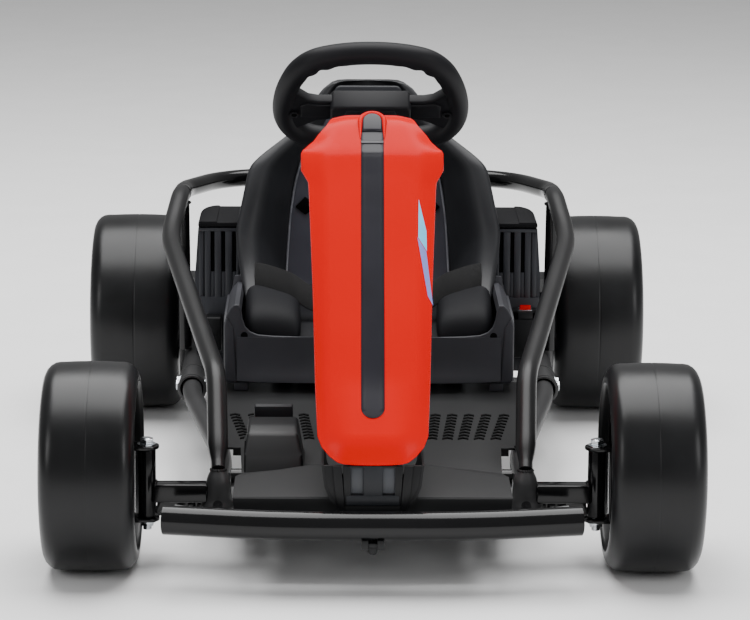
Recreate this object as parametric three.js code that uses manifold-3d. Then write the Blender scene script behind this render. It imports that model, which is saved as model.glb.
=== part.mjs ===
// A child's electric drift kart, as an assembly of its real pieces: welded tube frame, steering, wheels,
// seat, plastic trays and covers, and the drive units. Millimetres, +Z up, the nose of the kart towards -Y.
import * as THREE from "three";
import { mergeVertices } from "three/addons/utils/BufferGeometryUtils.js";
import Module from "manifold-3d";

const wasm = await Module();
wasm.setup();

// ---------- driving dimensions ----------
const halfWidth = 380; // outer faces of all four tyres
const wheelbase = 800;
const frontAxleY = -404.5; // puts the middle of the whole length at y = 0
const gap = 0.3; // air left between pieces that touch

const frontWheel = { radius: 122, width: 109, bead: 103, barrel: 94, web: 28, y: 0 };
const rearWheel = { radius: 135, width: 122, bead: 114, barrel: 104, web: 30, y: wheelbase };
const axleRadius = 6;
const axleZ = rearWheel.radius;
const hubFace = (wheel) => halfWidth - wheel.web + 6;

const rail = { x: 179, flareX: 232, z: 95, radius: 12.7, bendY: 150, flareY: 500 };
const sleeve = { outer: 18, inner: 15.5, start: 495, end: 878 };
const kingpin = { x: 262, tube: 10.5, bolt: 5, low: 62.5, high: 142 };
const bracket = { low: 57, high: 147.5, plate: 4, depth: 15, backX: 280 };
const beam = { size: 22, z: 91 };
const barRadius = 12;
const hoopZ = 325;
const bumper = { z: 81.5, y: -112.5, endY: -86, halfLength: 238, radius: 17 };
const socket = { radius: 12, waist: 14.6, foot: 19, low: 75, shoulder: 83, high: 118 };

const column = { tilt: THREE.MathUtils.degToRad(42), y: 385, z: 490, length: 596, radius: 8 };
const pitman = { reach: 26, pinRadius: 4 };
const steerArm = { x: 244, y: 42, z: 66 };
const rim = { halfWidth: 109, up: 99, down: 70, tube: 14 };

const seat = { front: 415, back: 765, halfWidth: 187, wall: 5, base: 122 };
const pod = { inner: 172, outer: 233, front: 622, back: 748, low: 113.4, shelf: 287, high: 296, wall: 3 };

// ---------- materials ----------
const finish = (color, roughness, metalness) =>
  new THREE.MeshStandardMaterial({ color, roughness, metalness });
const blackPaint = finish(0x0b0b0c, 0.25, 0.3);
const greyPaint = finish(0x3a3b3c, 0.45, 0.3);
const zinc = finish(0xb8bcc0, 0.3, 1);
const blackPlastic = finish(0x17181a, 0.55, 0);
const redPlastic = finish(0xe3120f, 0.2, 0);
const tyreRubber = finish(0x121314, 0.6, 0);
const vinyl = finish(0x26262b, 0.5, 0);
const webbing = finish(0x0c0c0d, 0.9, 0);

// ---------- solids ----------
// A closed three.js geometry as a manifold-3d solid with its faces pointing out.
function solid(geometry) {
  const bare = geometry.index ? geometry.toNonIndexed() : geometry.clone();
  bare.deleteAttribute("normal");
  bare.deleteAttribute("uv");
  const merged = mergeVertices(bare, 1e-3);
  const build = (triVerts) =>
    new wasm.Manifold(
      new wasm.Mesh({ numProp: 3, vertProperties: merged.attributes.position.array, triVerts }),
    );
  const triVerts = new Uint32Array(merged.index.array);
  const made = build(triVerts);
  return made.volume() >= 0 ? made : build(triVerts.reverse());
}

function geometryOf(made) {
  const mesh = made.getMesh();
  const geometry = new THREE.BufferGeometry();
  geometry.setAttribute("position", new THREE.BufferAttribute(mesh.vertProperties, 3));
  geometry.setIndex(new THREE.BufferAttribute(mesh.triVerts, 1));
  geometry.computeVertexNormals();
  return geometry;
}

function box(low, high) {
  const size = high.map((h, i) => h - low[i]);
  const middle = high.map((h, i) => (h + low[i]) / 2);
  return solid(new THREE.BoxGeometry(...size).translate(...middle));
}

// A round bar from one point to another.
function bar(from, to, radius, sides = 12, endRadius = radius) {
  const a = new THREE.Vector3(...from);
  const b = new THREE.Vector3(...to);
  const geometry = new THREE.CylinderGeometry(endRadius, radius, a.distanceTo(b), sides);
  const turn = new THREE.Quaternion().setFromUnitVectors(
    new THREE.Vector3(0, 1, 0),
    b.clone().sub(a).normalize(),
  );
  geometry.applyQuaternion(turn).translate(...a.add(b).multiplyScalar(0.5));
  return solid(geometry);
}

// A path of straight runs joined by smooth corners.
function route(points, corner) {
  const p = points.map((q) => new THREE.Vector3(...q));
  const path = new THREE.CurvePath();
  let start = p[0];
  for (let i = 1; i < p.length - 1; i++) {
    const cut = Math.min(corner, p[i].distanceTo(p[i - 1]) * 0.48, p[i].distanceTo(p[i + 1]) * 0.48);
    const enter = p[i].clone().lerp(p[i - 1], cut / p[i].distanceTo(p[i - 1]));
    const leave = p[i].clone().lerp(p[i + 1], cut / p[i].distanceTo(p[i + 1]));
    path.add(new THREE.LineCurve3(start, enter));
    path.add(new THREE.QuadraticBezierCurve3(enter, p[i], leave));
    start = leave;
  }
  path.add(new THREE.LineCurve3(start, p[p.length - 1]));
  return path;
}

function circleShape(radius, sides) {
  const shape = new THREE.Shape();
  for (let i = 0; i < sides; i++) {
    const a = (i / sides) * Math.PI * 2;
    const [x, y] = [Math.cos(a) * radius, Math.sin(a) * radius];
    if (i) shape.lineTo(x, y);
    else shape.moveTo(x, y);
  }
  return shape;
}

function tube(points, radius, { corner = 60, steps = 16, sides = 10 } = {}) {
  const geometry = new THREE.ExtrudeGeometry(circleShape(radius, sides), {
    steps,
    extrudePath: route(points, corner),
  });
  return solid(geometry);
}

// A lathe profile of [radius, along] pairs, closed on itself, turned to lie along X.
function turned(profile, segments, x, y, z) {
  const points = [...profile, profile[0]].map(([r, along]) => new THREE.Vector2(r, along));
  const geometry = new THREE.LatheGeometry(points, segments);
  return solid(geometry.rotateZ(-Math.PI / 2).translate(x, y, z));
}

function outline(points) {
  return new THREE.Shape(points.map(([x, y]) => new THREE.Vector2(x, y)));
}

// A flat outline in YZ, given as [y, z], as thick as the span from lowX to highX.
function sidePlate(points, lowX, highX) {
  const geometry = new THREE.ExtrudeGeometry(outline(points), { depth: highX - lowX, bevelEnabled: false });
  geometry.applyMatrix4(new THREE.Matrix4().makeBasis(
    new THREE.Vector3(0, 1, 0), new THREE.Vector3(0, 0, 1), new THREE.Vector3(1, 0, 0)));
  return solid(geometry.translate(lowX, 0, 0));
}

// A flat outline in XZ, given as [x, z], from nearY back to farY.
function frontPlate(points, nearY, farY) {
  const geometry = new THREE.ExtrudeGeometry(outline(points), { depth: farY - nearY, bevelEnabled: false });
  geometry.rotateX(Math.PI / 2);
  return solid(geometry.translate(0, farY, 0));
}

// A flat outline in XY, given as [x, y], from lowZ up to highZ.
function flatPlate(points, lowZ, highZ) {
  const geometry = new THREE.ExtrudeGeometry(outline(points), { depth: highZ - lowZ, bevelEnabled: false });
  return solid(geometry.translate(0, 0, lowZ));
}

const mirrored = (points) => [...points, ...points.map(([x, z]) => [-x, z]).reverse()];
const joined = (...parts) => parts.reduce((a, b) => a.add(b));
const without = (whole, ...cuts) => cuts.reduce((a, b) => a.subtract(b), whole);

const kart = new THREE.Group();
kart.position.y = frontAxleY; // every piece below is placed from the front axle line

function piece(name, made, material, group = kart) {
  const mesh = new THREE.Mesh(geometryOf(made), material);
  mesh.name = name;
  group.add(mesh);
  return mesh;
}

const sides = [
  ["left", -1],
  ["right", 1],
];
const flipX = (side, points) => points.map(([x, y, z]) => [side * x, y, z]);

// ---------- frame ----------
const barPath = [
  [rail.x, 0, 121],
  [rail.x + 6, 114, 204],
  [rail.x + 84, 545, 286],
  [253, 638, 314],
];
const hoopPath = [
  [252, 640, hoopZ],
  [250, 700, hoopZ],
  [205, 800, hoopZ - 3],
  [120, 842, hoopZ - 5],
  [-120, 842, hoopZ - 5],
  [-205, 800, hoopZ - 3],
  [-250, 700, hoopZ],
  [-252, 640, hoopZ],
];
const hoop = (extra = 0) => tube(hoopPath, barRadius + extra, { corner: 70, steps: 30 });
const sleeveAt = (side, radius, from = sleeve.start, to = sleeve.end) =>
  bar([side * rail.flareX, from, rail.z], [side * rail.flareX, to, rail.z], radius, 12);

function railPath(side) {
  return flipX(side, [
    [rail.x, 0, rail.z],
    [rail.x, rail.bendY, rail.z],
    [rail.flareX, rail.flareY - 30, rail.z],
    [rail.flareX, rail.flareY + 90, rail.z],
  ]);
}

function frame() {
  const struts = sides.map(([, side]) =>
    without(
      bar([side * 248, 655, rail.z], [side * 250, 655, hoopZ], 9, 12),
      sleeveAt(side, sleeve.outer + gap),
    ),
  );
  piece("rear_hoop", joined(hoop(), ...struts), blackPaint);
  for (const [name, side] of sides) {
    const upright = (low, high, radius) => bar([side * rail.x, 0, low], [side * rail.x, 0, high], radius, 12);
    const post = upright(socket.low, socket.high, socket.radius);
    const foot = joined(
      upright(socket.low, socket.shoulder, socket.foot), upright(socket.low, 106, socket.waist));
    const stub = box(
      [Math.min(side * rail.x, side * 258), -beam.size / 2, beam.z - beam.size / 2],
      [Math.max(side * rail.x, side * 258), beam.size / 2, beam.z + beam.size / 2],
    );
    const pinTube = bar([side * kingpin.x, 0, kingpin.low], [side * kingpin.x, 0, kingpin.high], kingpin.tube);
    const pinHole = bar([side * kingpin.x, 0, 40], [side * kingpin.x, 0, 160], kingpin.bolt + 0.4);
    const bent = tube(railPath(side), rail.radius, { corner: 90, steps: 14 });
    piece(`front_rail_${name}`, without(joined(bent, post, foot, stub, pinTube), pinHole), greyPaint);

    const hollow = sleeveAt(side, sleeve.inner, sleeve.start - 5, sleeve.end + 5);
    const plateX = [side * 206, side * 210].sort((a, b) => a - b);
    const plateShape = [[772, 80], [840, 80], [840, 150], [818, 164], [782, 164], [772, 150]];
    const axleSpace = bar([side * 190, wheelbase, axleZ], [side * 230, wheelbase, axleZ], axleRadius + gap, 12);
    const tab = without(sidePlate(plateShape, ...plateX), axleSpace);
    const web = box([Math.min(side * 206, side * 222), 774, 86], [Math.max(side * 206, side * 222), 838, 90]);
    piece(`rear_sleeve_${name}`, without(joined(sleeveAt(side, sleeve.outer), tab, web), hollow), greyPaint);

    const side_bar = tube(flipX(side, barPath), barRadius, { corner: 34, steps: 18 });
    const socketSpace = upright(60, socket.high + gap, 24);
    piece(`side_bar_${name}`, without(side_bar, socketSpace, hoop(gap)), greyPaint);
  }
  const clearRails = sides.flatMap(([, side]) => [
    tube(railPath(side), rail.radius + gap, { corner: 90, steps: 14 }),
    sleeveAt(side, sleeve.outer + gap),
  ]);
  const cross = (y, half, radius) =>
    without(bar([-half, y, rail.z], [half, y, rail.z], radius, 12), ...clearRails);
  piece("seat_cross_tube", cross(520, rail.flareX, 11), greyPaint);
  const tail = box([-rail.flareX, 851, rail.z - 11], [rail.flareX, 873, rail.z + 11]);
  piece("rear_cross_tube", without(tail, ...clearRails), greyPaint);
}

function bumpers() {
  const path = [
    [-bumper.halfLength, bumper.endY, bumper.z],
    [-bumper.halfLength * 0.45, bumper.y + 3, bumper.z],
    [bumper.halfLength * 0.45, bumper.y + 3, bumper.z],
    [bumper.halfLength, bumper.endY, bumper.z],
  ];
  const bent = (radius) => tube(path, radius, { corner: 110, steps: 10, sides: 14 });
  const solidTube = bent(bumper.radius);
  const mouths = sides.map(([, side]) =>
    box(
      [side > 0 ? bumper.halfLength - 26 : -bumper.halfLength - 20, -140, 40],
      [side > 0 ? bumper.halfLength + 20 : -bumper.halfLength + 26, -40, 130],
    ),
  );
  const bores = bent(bumper.radius - 2.5);
  const arms = sides.map(([, side]) =>
    bar([side * rail.x, -19.4, bumper.z - 1], [side * rail.x, bumper.y + 12, bumper.z - 1], 6, 12));
  const drilled = without(solidTube, ...mouths.map((m) => bores.intersect(m)));
  piece("front_bumper", joined(drilled, ...arms.map((arm) => without(arm, bores))), blackPaint);
  const clip = box([-13, bumper.y - 12, 57], [13, bumper.y + 12, 72]);
  const stud = bar([0, bumper.y, 50], [0, bumper.y, 59], 6.5, 12);
  piece("bumper_clip", without(joined(clip, stud), bent(bumper.radius + gap)), blackPlastic);
}

// ---------- steering ----------
const up = [0, Math.cos(column.tilt), Math.sin(column.tilt)];
const onColumn = (distance, down = 0) => [
  0,
  column.y + up[1] * distance + up[2] * down,
  column.z + up[2] * distance - up[1] * down,
];

function steering() {
  const low = -column.length;
  const shaft = bar(onColumn(low), onColumn(-24), column.radius, 12);
  const boss = bar(onColumn(low + 1), onColumn(low + 9), 13, 12);
  const arm = bar(onColumn(low + 5), onColumn(low + 5, pitman.reach), 7, 8);
  const pin = bar(onColumn(low - 4, pitman.reach), onColumn(low + 9, pitman.reach), pitman.pinRadius, 12);
  piece("steering_shaft", joined(shaft, boss, arm, pin), zinc);

  const wheel = new THREE.Group();
  wheel.position.set(0, column.y, column.z);
  wheel.rotation.x = column.tilt - Math.PI / 2; // the wheel's own +Z now points along the shaft, at the driver
  kart.add(wheel);
  const rimPath = new THREE.CurvePath();
  const [w, h, d] = [rim.halfWidth, rim.up, rim.down];
  const corners = [
    [w, -20], [w, d * 0.5], [w * 0.7, d], [-w * 0.7, d], [-w, d * 0.5], [-w, -20],
    [-w * 0.78, -h * 0.82], [-w * 0.3, -h], [w * 0.3, -h], [w * 0.78, -h * 0.82],
  ].map(([x, y]) => new THREE.Vector3(x, y, 0));
  corners.forEach((c, i) => {
    const before = corners.at(i - 1).clone().lerp(c, 0.5);
    const after = corners[(i + 1) % corners.length].clone().lerp(c, 0.5);
    rimPath.add(new THREE.QuadraticBezierCurve3(before, c, after));
  });
  const half = (from, to) => {
    const part = new THREE.CurvePath();
    rimPath.curves.slice(from, to).forEach((c) => part.add(c));
    return solid(new THREE.ExtrudeGeometry(circleShape(rim.tube, 8), { steps: 16, extrudePath: part }));
  };
  const seam = (y, z) => solid(new THREE.SphereGeometry(rim.tube * 0.96, 8, 6).translate(y, z, 0));
  const firstJoin = rimPath.curves[0].v0;
  const secondJoin = rimPath.curves[5].v0;
  const spokes = box([-w, -14, -9], [w, 14, 3]);
  const ring = joined(
    half(0, 5), half(5, 10), seam(firstJoin.x, firstJoin.y), seam(secondJoin.x, secondJoin.y), spokes);
  const hubSpace = box([-52 - gap, -34 - gap, -40], [52 + gap, 34 + gap, 40]);
  piece("steering_wheel_rim", without(ring, hubSpace), blackPlastic, wheel);
  const hub = box([-52, -34, -22], [52, 34, 14]);
  const shaftSeat = bar([0, 0, -60], [0, 0, -24 + 4], column.radius + gap, 12);
  piece("steering_wheel_hub", without(hub, shaftSeat), blackPlastic, wheel);

  const support = tube([[0, 60, 111], [0, 90, 150], [0, 322, 393]], 11, { corner: 30, steps: 7 });
  const bush = (at, radius) => bar(onColumn(at - 11), onColumn(at + 11), radius, 12);
  const clearShaft = bar(onColumn(low - 10), onColumn(0), column.radius + gap, 12);
  const shaftZ = (y) => column.z - (column.y - y) * Math.tan(column.tilt);
  const upperStrap = box([-7, 302, 370], [7, 318, shaftZ(309) - 3]);
  const lowerStrap = sidePlate([[34, 106], [62, 106], [40, 168], [20, 168]], -14, 12);
  const foot = box([-18, 34, 100], [18, 72, 112]);
  const lowClip = box([-22, -85.4, 147], [22, 44, 151]);
  const highClip = joined(bar([0, 309, 428], [0, 218, 480], 6), box([-15, 206, 478], [15, 228, 496.4]));
  const crossTube = bar([-rail.x, 48, rail.z], [rail.x, 48, rail.z], 11, 12);
  const tower = joined(crossTube, support, foot, lowClip, highClip, bush(-96, 12), upperStrap, bush(-480, 12), lowerStrap);
  const clearRails = sides.map(([, side]) => tube(railPath(side), rail.radius + gap, { corner: 90, steps: 14 }));
  piece("steering_support", without(tower, clearShaft, ...clearRails), blackPaint);
}

function knuckles() {
  for (const [name, side] of sides) {
    const s = (x) => side * x;
    const span = (a, b) => [Math.min(s(a), s(b)), Math.max(s(a), s(b))];
    const plate = (z) => {
      const [x0, x1] = span(kingpin.x, bracket.backX);
      return joined(
        box([x0, -bracket.depth, z], [x1, bracket.depth, z + bracket.plate]),
        bar([s(kingpin.x), 0, z], [s(kingpin.x), 0, z + bracket.plate], bracket.depth, 12),
      );
    };
    const [b0, b1] = span(bracket.backX - bracket.plate, bracket.backX);
    const back = box([b0, -bracket.depth, bracket.low], [b1, bracket.depth, bracket.high]);
    const armOutline = [
      [s(256), 2], [s(274), 6], [s(steerArm.x + 7), steerArm.y + 6], [s(steerArm.x - 7), steerArm.y + 6],
      [s(steerArm.x - 8), steerArm.y - 6],
    ];
    const arm = flatPlate(armOutline, bracket.low, bracket.low + bracket.plate);
    const stud = bar([s(steerArm.x), steerArm.y, 58], [s(steerArm.x), steerArm.y, 76], 3.5, 12);
    const stub = bar([s(bracket.backX - 2), 0, frontWheel.radius], [s(hubFace(frontWheel) + 10), 0, frontWheel.radius], axleRadius, 12);
    const shoulder = bar([s(bracket.backX - 2), 0, frontWheel.radius], [s(290), 0, frontWheel.radius], 10, 12);
    const pinHole = bar([s(kingpin.x), 0, 40], [s(kingpin.x), 0, 170], kingpin.bolt + gap, 12);
    const made = joined(back, plate(bracket.low), plate(bracket.high - bracket.plate), arm, stud, stub, shoulder);
    piece(`knuckle_${name}`, without(made, pinHole), blackPaint);

    const bolt = joined(
      bar([s(kingpin.x), 0, 46], [s(kingpin.x), 0, 155], kingpin.bolt, 12),
      bar([s(kingpin.x), 0, bracket.high + gap], [s(kingpin.x), 0, 155], 9, 6),
      bar([s(kingpin.x), 0, 47], [s(kingpin.x), 0, bracket.low - gap], 8.5, 6),
    );
    piece(`kingpin_bolt_${name}`, bolt, zinc);

    wheelNut(`front_wheel_nut_${name}`, frontWheel, side);

    const outer = [s(steerArm.x), steerArm.y, 69];
    const inner = [s(9), onColumn(-column.length - 2, pitman.reach)[1], onColumn(-column.length - 2, pitman.reach)[2]];
    const near = [s(21), inner[1] + 4, inner[2] - 1.5];
    const rod = joined(
      bar(near, [outer[0] - side * 8, outer[1] - 3, outer[2]], 4.5, 10),
      bar([outer[0], outer[1], 64.5], [outer[0], outer[1], 73.5], 9, 12),
    );
    const studHole = bar([outer[0], outer[1], 50], [outer[0], outer[1], 90], 3.5 + gap, 12);
    piece(`tie_rod_${name}`, without(rod, studHole), zinc);
  }
}

// ---------- wheels ----------
function wheelProfile(wheel) {
  const w = wheel.width / 2;
  const [r, round] = [wheel.radius, 17];
  const shoulder = [0, 45, 90].map((deg) => {
    const a = THREE.MathUtils.degToRad(deg);
    return [r - round + round * Math.cos(a), w - round + round * Math.sin(a)];
  });
  return [
    [wheel.bead - 6, w - 12], ...shoulder.reverse(), ...shoulder.map(([a, b]) => [a, -b]).reverse(),
    [wheel.bead - 6, 12 - w],
  ];
}

// The rim's barrel, a web near the outer face and a hub that runs inwards round the axle.
function rimProfile(wheel, hubLength) {
  const w = wheel.width / 2;
  const bore = axleRadius + gap;
  const webOut = w - wheel.web;
  const outer = wheel.bead - 6 - gap;
  const inner = wheel.barrel - 4;
  return [
    [bore, webOut], [bore, webOut - hubLength], [20, webOut - hubLength], [24, webOut - 8],
    [inner, webOut - 8], [inner, 12 - w], [outer, 12 - w],
    [outer, w - 12], [inner, w - 12], [inner - 8, webOut], [28, webOut], [20, webOut + 6], [bore, webOut + 6],
  ];
}

function wheelNut(name, wheel, side) {
  const along = (x) => [side * x, wheel.y, wheel.radius];
  const face = hubFace(wheel) + gap;
  const bore = bar(along(face - 5), along(face + 20), axleRadius + gap, 12);
  piece(name, without(bar(along(face), along(face + 8), 10, 6), bore), zinc);
}

function wheels() {
  const kinds = [
    ["front", frontWheel, 0, 46],
    ["rear", rearWheel, wheelbase, 50],
  ];
  for (const [end, wheel, y, hubLength] of kinds) {
    for (const [name, side] of sides) {
      const x = side * (halfWidth - wheel.width / 2);
      const facing = (profile) => profile.map(([r, along]) => [r, side * along]);
      piece(`${end}_tyre_${name}`, turned(facing(wheelProfile(wheel)), 24, x, y, wheel.radius), tyreRubber);
      piece(`${end}_rim_${name}`, turned(facing(rimProfile(wheel, hubLength)), 24, x, y, wheel.radius), blackPlastic);
    }
  }
}

// ---------- rear drive ----------
function drive() {
  const z = rearWheel.radius;
  const end = hubFace(rearWheel) + 10;
  piece("rear_axle", bar([-end, wheelbase, z], [end, wheelbase, z], axleRadius), zinc);
  for (const [name, side] of sides) {
    const s = (x) => side * x;
    const span = (a, b) => [Math.min(s(a), s(b)), Math.max(s(a), s(b))];
    const axleSpace = bar([-400, wheelbase, z], [400, wheelbase, z], axleRadius + gap, 12);
    const sleeveSpace = sleeveAt(side, sleeve.outer + gap);
    const [g0, g1] = span(211, 262);
    const caseShape = [[764, 117], [772, 92], [838, 92], [850, 117], [850, 172], [834, 186], [782, 186], [764, 170]];
    piece(`gearbox_${name}`, without(sidePlate(caseShape, g0, g1), axleSpace, sleeveSpace), blackPlastic);
    piece(`motor_${name}`, bar([s(137), 826, 196 - 34], [s(206 - gap), 826, 196 - 34], 21, 12), zinc);
    wheelNut(`rear_wheel_nut_${name}`, rearWheel, side);
  }
  piece("battery", box([-96, 514, 106.4], [96, 640, 149.6]), blackPlastic);
}

// ---------- floor, column cover and fairing ----------
let floorTray; // the pedal housing is cut to stand on it

function bodywork() {
  const trayOutline = mirrored([
    [60, -84], [160, -72], [160, -2], [152, 8], [157, 127], [174, 129], [181, 160], [191, 300], [206, 430], [206, 470],
  ]);
  const plate = flatPlate(trayOutline, 108.2, 111.2);
  // one sloping panel of the raised front edge, hung from its four upper corners
  const panel = (side, corners) => wasm.Manifold.hull(
    flipX(side, [...corners, ...corners.map(([x, y, z]) => [x, y, z - 3])]));
  const ramps = sides.flatMap(([, side]) => [
    panel(side, [[34, -80, 107], [160, -80, 107], [160, -8, 112], [34, -8, 129]]),
    panel(side, [[34, -8, 129], [160, -8, 112], [160, 28, 111.2], [34, 28, 111.2]]),
  ]);
  const lip = box([-160, -80, 88], [160, -77, 105]);
  const notch = joined(
    frontPlate(mirrored([[34.4, 60], [34.4, 87], [50.4, 107], [56.4, 120], [60, 148]]), -100, 40),
    box([-61, -60, 60], [61, 76, 200]));
  const corner = joined(...sides.map(([, side]) => bar([side * rail.x, 0, 60], [side * rail.x, 0, 150], 19, 12)));
  const flat = without(plate, box([-200, -100, 100], [200, 22, 115]));
  const flanges = sides.map(([, side]) => box([side * 160 - 4.5, 127, 101], [side * 160 + 4.5, 130, 110]));
  floorTray = without(joined(flat, lip, ...ramps, ...flanges), notch, corner);
  piece("floor_tray", floorTray, blackPlastic);

  const shield = mirrored([[33, 86], [49, 106], [55, 120], [58.5, 146.6]]);
  const hollow = mirrored([[29, 80], [45, 107], [51, 120], [54.5, 155]]);
  const cover = without(frontPlate(shield, -88, 30), frontPlate(hollow, -84, 40));
  piece("column_cover", without(cover, box([-45, -200, 60], [45, -84.5, 84])), blackPlastic);

  const wall = 4;
  const front = [[-90, 147], [-91.5, 150.6], [160, 480], [196, 503], [232, 500]];
  const back = [[236, 448], [120, 330], [20, 190], [-30, 147]];
  const face = mirrored([
    [34, 140], [42, 149], [50, 155], [58, 163], [64.5, 176], [70, 320], [76, 426], [85, 446], [85, 463], [72, 486], [54, 500], [18, 506],
  ]);
  const inner = face.map(([x, z]) => [x - Math.sign(x) * wall, z < 200 ? z + 2 : z - wall]);
  const outerBody = sidePlate([...front, ...back], -90, 90).intersect(frontPlate(face, -120, 300));
  const shift = (points, dy, dz) => points.map(([y, z]) => [y + dy, z + dz]);
  const cavitySide = [[-86, 120], [-86, 151], [163, 476], [197, 498], [300, 496], [300, 380], [60, 120]];
  const cavity = sidePlate(cavitySide, -90, 90).intersect(frontPlate(inner, -120, 320));
  const along = Math.hypot(252, 330);
  const slope = Math.atan2(330, 252);
  const onFace = (made) => made.rotate([THREE.MathUtils.radToDeg(slope), 0, 0]).translate([0, -92, 150]);
  const strip = (half, low, high, from, to) => onFace(box([-half, from, low], [half, to, high]));
  const groove = strip(14, -1.6, 20, 45, along - 22);
  piece("front_fairing", without(outerBody, cavity, groove), redPlastic);
  piece("fairing_stripe", strip(13.6, -1.2, 0.4, 46, along - 23), vinyl);
}

// ---------- seat ----------
function seating() {
  const sideOuter = [
    [424, 150], [424, 182], [440, 191], [505, 201], [548, 224], [573, 252], [594, 296], [630, 368],
    [680, 418], [718, 474], [752, 474], [seat.back, 440], [750, 300], [725, 170], [700, 150],
  ];
  const faceOuter = mirrored([
    [150, 148], [158, 200], [170, 236], [178, 292], [161, 370], [146, 381], [92, 415], [71, 440], [56, 480],
  ]);
  const cavitySide = [
    [400, 168], [455, 168], [620, 158], [668, 176], [700, 320], [727, 455], [727, 490], [400, 490],
  ];
  const faceInner = mirrored([
    [140, 150], [147, 200], [158, 236], [165, 290], [150, 356], [84, 400], [64, 425], [60, 500],
  ]);
  const feet = sides.map(([, side]) => box([side * 115 - 15, 508, 106.3], [side * 115 + 15, 532, 152]));
  const bucket = without(
    sidePlate(sideOuter, -190, 190).intersect(frontPlate(faceOuter, 380, 800)),
    sidePlate(cavitySide, -190, 190).intersect(frontPlate(faceInner, 380, 727)),
  );
  const podSpace = sides.map(([, side]) => box([side * 205 - 36, 612, 100], [side * 205 + 36, 800, 330]));
  piece("seat_shell", joined(without(bucket, ...podSpace), ...feet), blackPlastic);

  const skirtFace = mirrored([
    [seat.halfWidth, seat.base], [seat.halfWidth, 200], [183, 211], [174, 225], [165, 224], [161, 199], [156, 190.5],
    [147, 186], [118, 184],
  ]);
  const inside = box([5 - seat.halfWidth, seat.front + 5, 100], [seat.halfWidth - 5, 620, 300]);
  const lugs = sides.map(([, side]) => box([side * 165 - 9, seat.front + 2, 111.5], [side * 165 + 9, 440, 126]));
  piece("seat_skirt", joined(without(frontPlate(skirtFace, seat.front, 600), inside), ...lugs), blackPlastic);

  const padSide = [
    [424, 168.4], [424, 177], [470, 185], [600, 178], [646, 192], [676, 320], [704, 440], [714, 452], [726, 452],
    [699.6, 320], [667.6, 176.2], [655, 162], [619.8, 158.6],
  ];
  const padFace = mirrored([[128, 150], [128, 190], [120, 260], [110, 330], [84, 392], [62, 420], [55, 460]]);
  const cushion = sidePlate(padSide, -130, 130).intersect(frontPlate(padFace, 400, 760));
  const seatSpace = sidePlate(cavitySide.map(([y, z]) => [y - 1, z + 1]), -200, 200);
  piece("seat_pad", cushion.intersect(seatSpace), vinyl);

  for (const [name, side] of sides) {
    const points = flipX(side, [[139.5, 588, 211], [110, 558, 204], [60, 530, 197], [29, 528, 196.5]]);
    const section = new THREE.Shape([[-1.5, -14], [1.5, -14], [1.5, 14], [-1.5, 14]].map((p) => new THREE.Vector2(...p)));
    const belt = new THREE.ExtrudeGeometry(section, {
      steps: 10,
      extrudePath: new THREE.CatmullRomCurve3(points.map((p) => new THREE.Vector3(...p))),
    });
    piece(`lap_belt_${name}`, solid(belt), webbing);
  }
  const buckle = box([-26, 510, 189], [26, 545, 204]);
  const slot = box([-11 - gap, 500, 191 + 2], [11 + gap, 524, 230]);
  piece("belt_buckle", without(buckle, slot), blackPlastic);
  piece("buckle_button", box([-11, 506, 193 + gap], [11, 519, 206]), redPlastic);
}

// ---------- side pods ----------
function pods() {
  const rockerX = 212;
  for (const [name, side] of sides) {
    const face = [
      [pod.inner, pod.low], [pod.outer - 2, pod.low], [pod.outer, 217], [pod.outer - 5, pod.shelf],
      [pod.outer - 6, 292], [pod.outer - 10, pod.high], [pod.inner, pod.high],
    ].map(([x, z]) => [side * x, z]);
    const inner = [
      [pod.inner + 3, pod.low + 3], [pod.outer - 5, pod.low + 3], [pod.outer - 3, 217], [pod.outer - 8, pod.shelf],
      [pod.outer - 12, 330], [pod.inner + 3, 330],
    ].map(([x, z]) => [side * x, z]);
    // seen from above the outer rear corner is well rounded
    const plan = (inset) => flatPlate([
      [pod.inner, 600], [pod.outer - inset, 600], [pod.outer - inset, 680], [pod.outer - 3 - inset, 705],
      [pod.outer - 12 - inset, 727 - inset], [pod.outer - 26 - inset, 741 - inset],
      [pod.outer - 44, pod.back - inset], [pod.inner, pod.back - inset],
    ].map(([x, y]) => [side * x, y]), 90, 340);
    const shell = without(
      frontPlate(face, pod.front, pod.back).intersect(plan(0)),
      frontPlate(inner, pod.front + 3, pod.back - 3).intersect(plan(3)),
    );
    const lidCut = box([-300, pod.front - 20, pod.shelf], [300, pod.back + 20, 340]);
    const strutSpace = bar([side * 248, 655, 60], [side * 250, 655, 340], 9 + 1.5, 12);
    const slots = [0, 1, 2].map((i) => {
      const x = side * (180 + i * 14.4);
      return box([x - 2.3, pod.front - 5, 226], [x + 2.3, pod.front + 5, 282]);
    });
    piece(`side_pod_${name}`, without(shell, lidCut, strutSpace, ...slots), blackPlastic);
    const lid = frontPlate(face, pod.front - 1, pod.back).intersect(lidCut.translate([0, 0, gap])).intersect(plan(0));
    piece(`pod_lid_${name}`, without(lid, strutSpace), blackPlastic);
    if (name === "left") {
      piece("charge_port_box", box([-218, pod.front - 26, 122], [-196, pod.front - gap, 169]), blackPlastic);
    } else {
      const front = box([194, pod.front - 26, 114.5], [229, pod.front - gap, 178.6]);
      const well = box([rockerX - 8, pod.front - 20, 171], [rockerX + 8, pod.front - 6, 200]);
      piece("switch_box", without(front, well), blackPlastic);
    }
  }
  const paddle = sidePlate([[603, 173.5], [615, 173.5], [615, 180.5], [609, 182.5], [603, 186]], rockerX - 7.4, rockerX + 7.4);
  piece("power_switch", paddle, redPlastic);
}

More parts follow.
